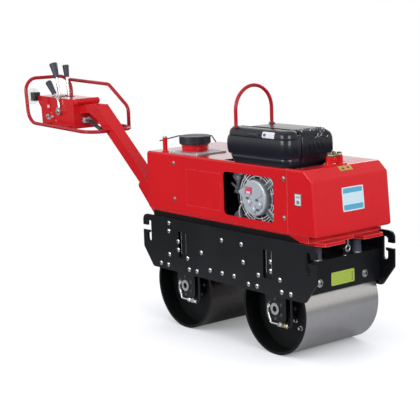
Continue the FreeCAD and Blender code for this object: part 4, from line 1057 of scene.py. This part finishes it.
def coupling_trim():
    """Nuts and caps on the two coupling stems, the chain and web between them, and an elbow."""
    low, high = box("coupling_stems")
    x, near, far = (low.x + high.x) / 2, low.y + 9, high.y - 9
    nut = lathe([(11.8, 0), (12.8, 1.5), (12.8, 7.5), (11.8, 9)], 6)
    cap = lathe([(10, 0), (10.8, 2), (10.8, 5), (7, 6.5), (0, 6.8)], 24)
    scatter("coupling_nuts", nut, [(spot(x, y, low.z), Z) for y in (near, far)], 45)
    scatter("coupling_caps", cap, [(spot(x, y, high.z - 6.6), Z) for y in (near, far)], 45, "brass_parts")
    chain = [spot(x, near, low.z + 4), spot(x + 12, near + 10, low.z + 3), spot(x + 12, far - 10, low.z + 3),
             spot(x, far, low.z + 4)]
    piece("coupling_chain", pipe(chain, 3.5), "brass_parts")
    foot = low.z - 30
    piece("coupling_web", block((x - 11, near, foot), (x + 4, far, low.z - 6), 3), "red_paint")
    elbow = lathe([(9.5, 0), (9.5, 32), (12.5, 33), (12.5, 41), (9, 43), (9, 48), (5, 51)], 24)
    piece("coupling_elbow", placed(elbow, (x - 6, (near + far) / 2 + 4, foot)), "brass_parts")


# --- drawbar trim
def pivot_trim():
    x = box("rear_crossmember")[0].x - 12
    places = [(spot(x, y, z), -X) for y in (-68, 68) for z in (318, 392)]
    scatter("foot_bolts", hex_bolt(9.5, 9.5), places, 51)
    pin = middle("pivot_pin")
    ends = [(spot(pin.x, outer_face("pivot_pin", side), pin.z), Y * side) for side in (-1, 1)]
    scatter("pin_grease_caps", plain_disc(6, 2.5, 20), ends, 1, "brass_parts")


def console_trim():
    low, high = box("console")
    surface = skin("console")
    label("console_label", "console", at(-1668, low.y, 958), -Y, (20, 16), "red_paint", "drawbar")

    def on_the_right(*points):
        return [(land(surface, at(x, low.y, z), Y)[0], -Y) for x, z in points]

    bolts = on_the_right((-1690, 900), (-1652, 890), (-1640, 920), (-1600, 882))
    bolts += [(spot(p.x, high.y, p.z), Y) for p, _ in bolts[:3]]
    scatter("console_bolts", hex_bolt(5.2, 4.5), bolts, 61, body="drawbar")
    fitting = lathe([(8, 0), (8, 6), (5.5, 8), (5.5, 13), (0, 14)], 18)
    scatter("console_fittings", fitting, on_the_right((-1674, 908), (-1664, 892), (-1626, 904)), 62,
            "cast_aluminium", body="drawbar")
    boss = at(-1539, box("levers")[0].y, 940)
    scatter("boss_screw", button_screw(10, 4), [(boss, -Y)], 63, body="drawbar")
    strips = []
    for x, y in ((-1612, -38), (-1605, 18)):
        for y0, y1 in ((y - 16, y - 8.5), (y + 8.5, y + 16)):
            feet = [land(surface, at(*corner, high.z), -Z)[0]
                    for corner in ((x - 52, y0), (x + 37, y0), (x + 37, y1), (x - 52, y1))]
            strips.append(stack([[foot + Z * lift for foot in feet] for lift in (-0.6, 1.8)]))
    piece("gate_edges", strips, "black_rubber", body="drawbar")


def neck_trim():
    """Gland block and nuts where the control cables leave the console."""
    x = box("beam")[0].x
    piece("cable_gland", [block((x + 4, -26, 878), (x + 24, 12, 908), 4),
                          block((x + 20, -20, 884), (x + 34, 6, 900), 3)], "cast_aluminium", body="drawbar")
    nut = lathe([(5.2, -4), (8.2, -4), (8.2, 4), (5.2, 4), (5.2, -4)], 20)
    scatter("cable_nuts", nut, [(spot(x + 37, y, 893), X) for y in (-16, 2)], 71, body="drawbar")


def console_welds():
    """Short beads where the handle's tubes pass below the console."""
    reach, radius = box("console")[1].y + 2, 2.2
    points = [at(x + end, side * reach, z) for x, z in ((-1660, 872.5), (-1460, 866.5)) for side in (-1, 1)
              for end in (-16, 16)]
    base = bare_mesh("console_welds", points, [(i, i + 1) for i in range(0, len(points), 2)])
    grow("console_welds", "weld", base, "red_paint", body="drawbar", smooth=60, Step=radius * 0.9,
         Bead_Radius=radius, Seed=4)


# --- stage
WHITE = tone((1, 1, 1))


def seen_directly(web):
    """The ray's kinds, and 1 where the camera looks straight or through something clear."""
    ray = web.put("LightPath")
    return ray, web.calc("MAXIMUM", ray["Is Camera Ray"], ray["Is Transmission Ray"])


def lay_floor():
    """A round pale floor whose rim melts into the white around it."""
    radius, glow, mirrored = 2.2, 0.73, 0.12
    centre = at(0, 0, 0) * MM
    bm = bmesh.new()
    bmesh.ops.create_circle(bm, cap_ends=True, segments=96, radius=radius, matrix=Matrix.Translation(centre))
    floor = add("floor", mesh_of("floor", bm))
    web, vector = new_material("pale_floor")
    ray, seen = seen_directly(web)
    matt = web.put("BsdfDiffuse", {"Color": tone((0.42, 0.43, 0.46))})[0]
    # The matt part takes the real shadow; ambient occlusion also dims the glow near the machine, a painted
    # contact shadow.
    open_sky = web.put("AmbientOcclusion", {"Distance": 0.55}, samples=8)["AO"]
    seen = web.calc("MAXIMUM", seen, web.times(ray["Is Glossy Ray"], mirrored))
    shaded = web.times(web.times(seen, glow), web.spread(open_sky, 0, 0.92, 0.28, 1))
    near = web.put("AddShader", {0: matt, 1: web.put("Emission", {"Color": WHITE, "Strength": shaded})[0]})[0]
    place = web.put("Mapping", {"Vector": vector, "Location": -centre})[0]
    rim = web.spread(web.vector("LENGTH", place, output="Value"), radius * 0.55, radius * 0.98)
    white = web.put("Emission", {"Color": WHITE, "Strength": seen})[0]
    web.put("OutputMaterial", {"Surface": web.put("MixShader", {0: rim, 1: near, 2: white})[0]})
    floor.data.materials.append(materials["pale_floor"])


def light_room():
    """A pale room. Gloss sees it darker low down, overhead and towards one side."""
    world = scene.world = bpy.data.worlds.new("studio")
    world.use_nodes = True
    web = Web(world.node_tree)
    ray, seen = seen_directly(web)
    heading = web.put("TexCoord")["Generated"]
    height = web.axes(heading)["Z"]
    behind = web.vector("DOT_PRODUCT", heading, (-0.78, 0.62, 0.0), output="Value")
    level = web.times(web.spread(height, 0.25, 0.9, 1, 0.4), web.spread(height, -0.12, -0.01, 0.06, 1))
    level = web.times(level, web.spread(behind, -0.6, 0.3, 0.8, 1))
    mirrored = web.blend(level, tone((0, 0, 0)), WHITE)
    room = web.blend(ray["Is Glossy Ray"], tone((0.31, 0.33, 0.38)), mirrored)
    light = web.put("Background", {"Color": web.blend(seen, room, WHITE), "Strength": 1.0})[0]
    web.put("OutputWorld", {"Surface": light})


def set_lamps():
    for name, place, size, power, colour in (
            ("overhead", at(200, -300, 3600), (3.0, 2.4), 15, (1.0, 0.99, 0.97)),
            ("front", at(3600, -600, 1900), (1.6, 1.6), 73, (1.0, 0.99, 0.98)),
            ("side", at(-600, -3600, 1900), (2.2, 1.6), 84, (1.0, 0.99, 0.99)),
            ("rear", at(-1200, 3400, 2600), (2.0, 1.6), 52, (0.97, 0.98, 1.0))):
        light = bpy.data.lights.new(name, "AREA")
        light.shape, light.energy, light.color = "RECTANGLE", power, colour
        light.size, light.size_y = size
        lamp = add(name, light)
        lamp.location = place * MM
        lamp.rotation_euler = (place - at(0, 0, 500)).to_track_quat("Z", "Y").to_euler()


# --- the scene
scene.view_settings.view_transform = "Standard"
for step in (set_camera, lay_floor, light_room, set_lamps, finish_nodes, side_plate_trim, cross_plate_trim,
             hanger_trim, hub_trim, hood_trim, outline_bead, starter_trim, guard_trim, engine_side_trim,
             shade_sheets, engine_bolts, cover_trim, filler_trim, coupling_trim, pivot_trim, console_trim,
             neck_trim, console_welds):
    step()
